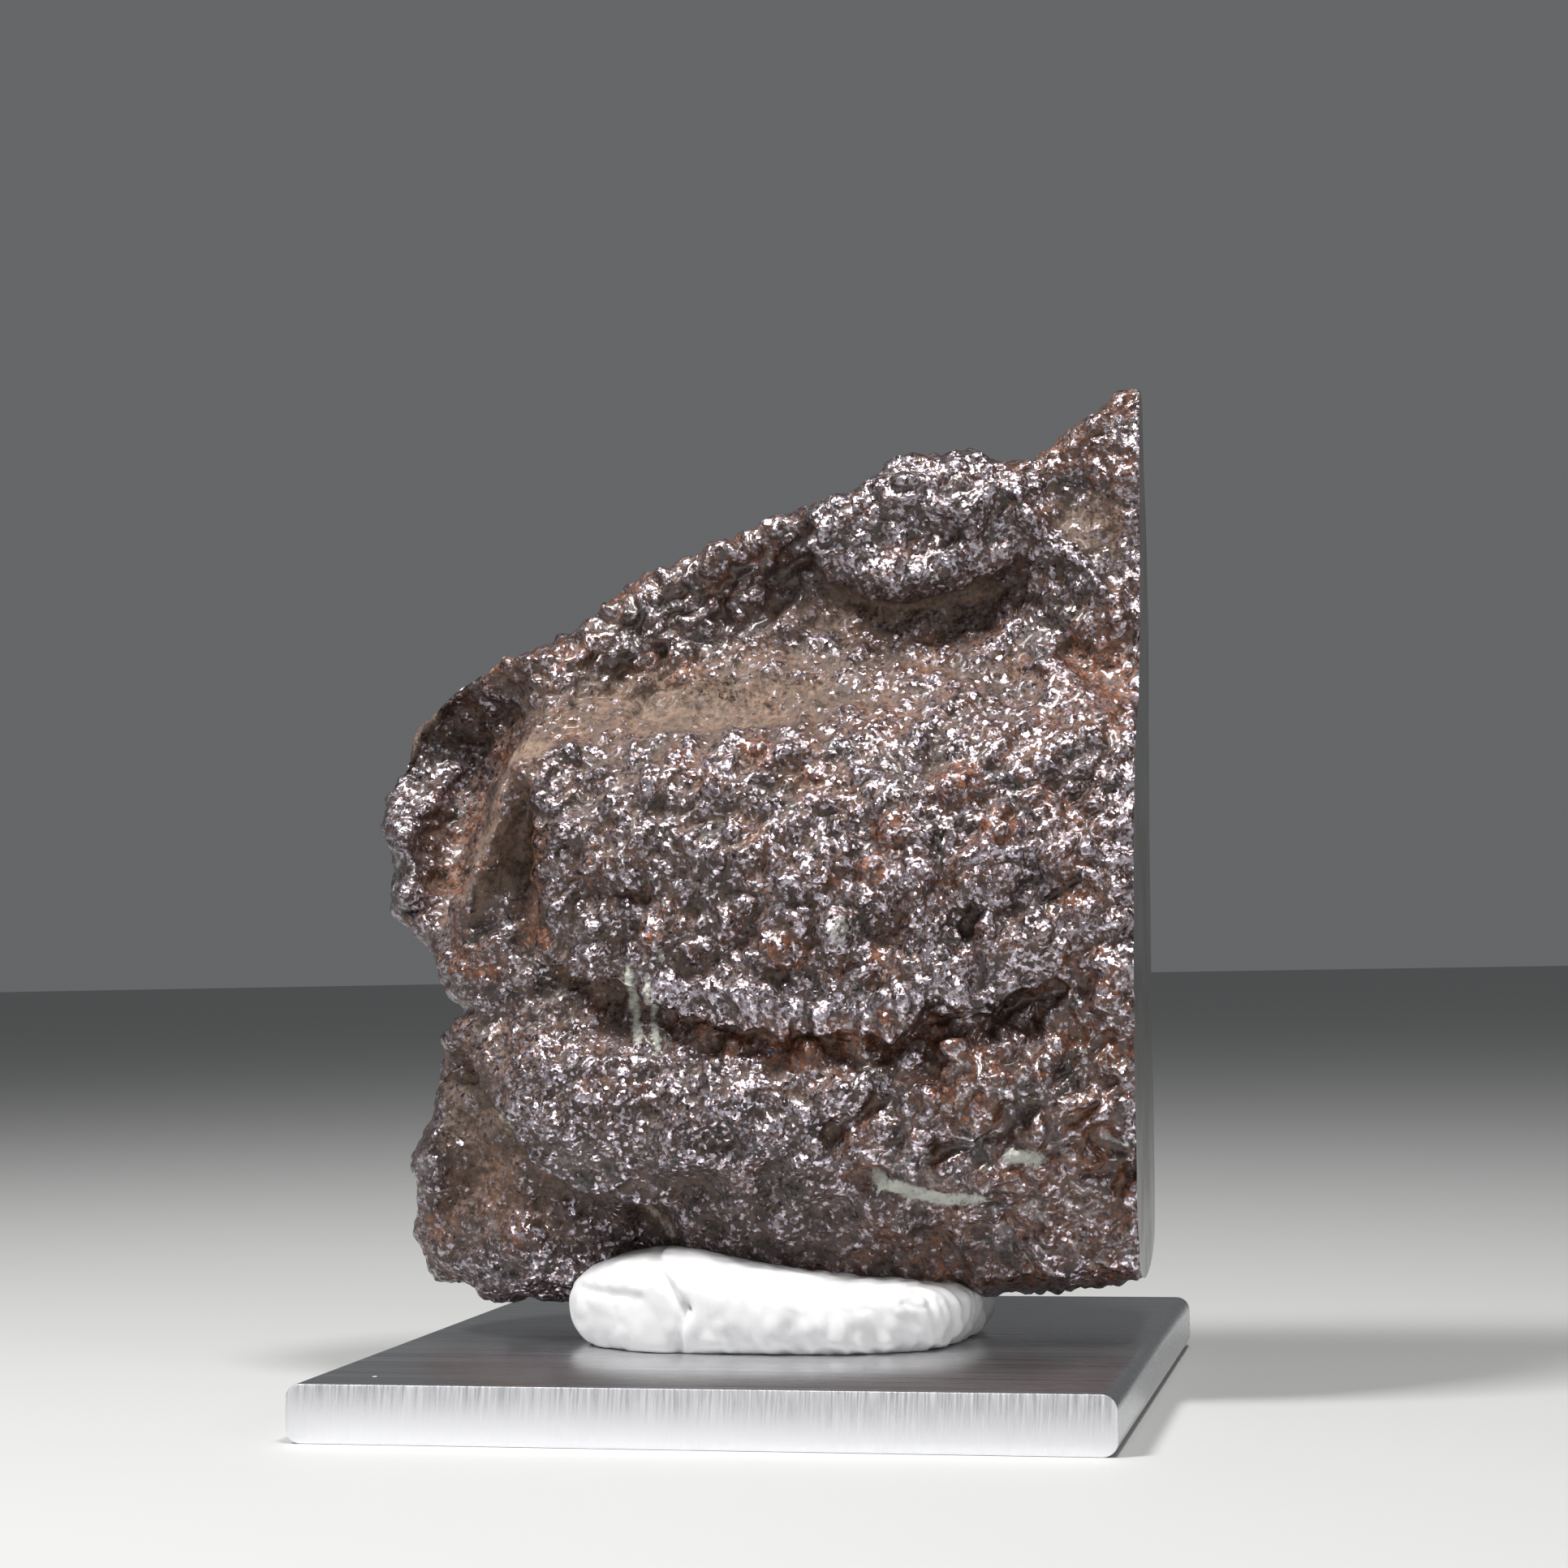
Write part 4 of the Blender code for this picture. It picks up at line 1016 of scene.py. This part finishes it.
def buildPlate(drawn, sawn):
    bar = bmesh.new()
    bmesh.ops.create_cube(bar, size=1.0)
    size = Vector((plate["side"], plate["side"], plate["thickness"])) * mm
    bmesh.ops.scale(bar, vec=size, verts=bar.verts)
    bmesh.ops.translate(bar, vec=(0, 0, size.z / 2), verts=bar.verts)
    drawnEdges = [e for e in bar.edges if abs(e.verts[0].co.y - e.verts[1].co.y) > size.y / 2]
    bmesh.ops.bevel(bar, geom=drawnEdges, offset=plate["edge radius"] * mm, segments=8,
                    affect="EDGES", profile=0.5, material=-1)
    tiny = 1e-7
    endEdges = [e for e in bar.edges if all(abs(abs(v.co.y) - size.y / 2) < tiny for v in e.verts)]
    for face in bar.faces:
        face.material_index = int(abs(face.normal.y) > 0.9)
    bmesh.ops.bevel(bar, geom=endEdges, offset=plate["sawn edge"] * mm, segments=2,
                    affect="EDGES", profile=0.5, material=-1)
    mesh = bpy.data.meshes.new("aluminiumPlate")
    bar.to_mesh(mesh)
    bar.free()
    mesh.shade_smooth()
    mesh.set_sharp_from_angle(angle=math.radians(40))
    return asPiece("aluminiumPlate", mesh, drawn, sawn)


plateLook = {
    "aluminium": (0.62, 0.625, 0.64),
    "lint": (0.9, 0.9, 0.9),
    "lint spacing": 3.5,
    "lint share": 0.25,
    "lint size": 0.12,
    "drawn spacing": 0.18,
    "drawn length": 30.0,
    "drawn depth": 0.03,
    "drawn roughness": (0.22, 0.4),
    "sawn": (0.93, 0.93, 0.96),
    "saw turn": 86,
    "saw spacing": 0.14,
    "saw length": 3.0,
    "saw depth": 0.04,
    "saw roughness": (0.35, 0.55),
    "line change": (0.3, 0.7),
}


def buildDrawnAluminium():
    material, tree, shader = newMaterial("drawn aluminium")
    look = plateLook
    where = objectPlace(tree)
    lines = grouped(tree, lineGroup, Vector=where, Spacing=look["drawn spacing"],
                    Length=look["drawn length"])["Lines"]
    lint = grouped(tree, speckGroup, Vector=where, Spacing=look["lint spacing"], Share=look["lint share"],
                   Size=look["lint size"])["Specks"]
    feed(tree, shader, Base_Color=mixColour(tree, lint, look["aluminium"], look["lint"]),
         Metallic=calc(tree, "SUBTRACT", 1.0, lint),
         Roughness=span(tree, lines, *look["line change"], *look["drawn roughness"]),
         Normal=bumped(tree, lines, 0.6, look["drawn depth"]))
    return material


def buildSawnAluminium():
    material, tree, shader = newMaterial("sawn aluminium")
    look = plateLook
    lines = grouped(tree, lineGroup, Vector=objectPlace(tree, look["saw turn"]),
                    Spacing=look["saw spacing"], Length=look["saw length"])["Lines"]
    feed(tree, shader, Base_Color=look["sawn"], Metallic=1.0,
         Roughness=span(tree, lines, *look["line change"], *look["saw roughness"]),
         Normal=bumped(tree, lines, 0.7, look["saw depth"]))
    return material


# Camera, floor and light
studio = {
    "lens": 70.54,  # mm on a 36 mm sensor
    "camera at": (36.88, -168.53, 23.86),
    "near limit": 10.0,
    "yaw, pitch, roll": (12.089, 3.292, -0.967),
    "floor": (0.50, 0.50, 0.49),
    "floor radius": 4000.0,
    "floor roughness": 0.7,
    "sky": (0.55, 0.56, 0.58),
    "sky strength": 0.24,
    "lamps aim at": (0.0, 0.0, 28.0),
    # where, size, watts
    "lamps": {
        "main softbox": ((-120, -110, 240), 60, 0.9),
        "high softbox": ((60, -90, 250), 45, 0.45),
        "right window": ((220, -150, 110), 60, 0.12),
    },
}


def buildStudio():
    yaw, pitch, roll = [math.radians(angle) for angle in studio["yaw, pitch, roll"]]
    level = Vector((-math.sin(yaw), math.cos(yaw), 0.0))
    ahead = math.cos(pitch) * level + math.sin(pitch) * Vector((0.0, 0.0, 1.0))
    right = Vector((math.cos(yaw), math.sin(yaw), 0.0))
    upwards = right.cross(ahead)
    rolledRight = math.cos(roll) * right + math.sin(roll) * upwards
    rolledUp = math.cos(roll) * upwards - math.sin(roll) * right
    lens = bpy.data.cameras.new("camera")
    lens.lens = studio["lens"]
    lens.sensor_width = 36.0
    lens.clip_start = studio["near limit"] * mm
    camera = bpy.data.objects.new("camera", lens)
    bpy.context.scene.collection.objects.link(camera)
    turn = Matrix((rolledRight, rolledUp, -ahead)).transposed().to_4x4()
    camera.matrix_world = Matrix.Translation(Vector(studio["camera at"]) * mm) @ turn
    bpy.context.scene.camera = camera

    disc = bmesh.new()
    bmesh.ops.create_circle(disc, cap_ends=True, segments=96, radius=studio["floor radius"] * mm)
    mesh = bpy.data.meshes.new("floor")
    disc.to_mesh(mesh)
    disc.free()
    floorMaterial, tree, shader = newMaterial("pale floor")
    feed(tree, shader, Base_Color=studio["floor"], Roughness=studio["floor roughness"])
    floor = asPiece("floor", mesh, floorMaterial)

    world = bpy.data.worlds.new("studio sky")
    world.use_nodes = True
    sky = world.node_tree.nodes["Background"]
    sky.inputs["Color"].default_value = (*studio["sky"], 1.0)
    sky.inputs["Strength"].default_value = studio["sky strength"]
    bpy.context.scene.world = world
    bpy.context.scene.view_settings.view_transform = "Standard"

    aim = Vector(studio["lamps aim at"]) * mm
    for name, (spotAt, size, watts) in studio["lamps"].items():
        lamp = bpy.data.lights.new(name, "AREA")
        lamp.size = size * mm
        lamp.energy = watts
        body = bpy.data.objects.new(name, lamp)
        bpy.context.scene.collection.objects.link(body)
        body.location = Vector(spotAt) * mm
        body.rotation_euler = (aim - body.location).to_track_quat("-Z", "Y").to_euler()
    print("studio ready")


buildStudio()
meteorite = buildStone(buildCrust(), buildSawnIron())
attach(meteorite, "root")
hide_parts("meteorite")

puttyLump = buildPutty(buildPuttyWhite())
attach(puttyLump, "root")
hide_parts("putty")
print("putty done")

aluminiumPlate = buildPlate(buildDrawnAluminium(), buildSawnAluminium())
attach(aluminiumPlate, "root")
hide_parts("plate")
print("plate done")
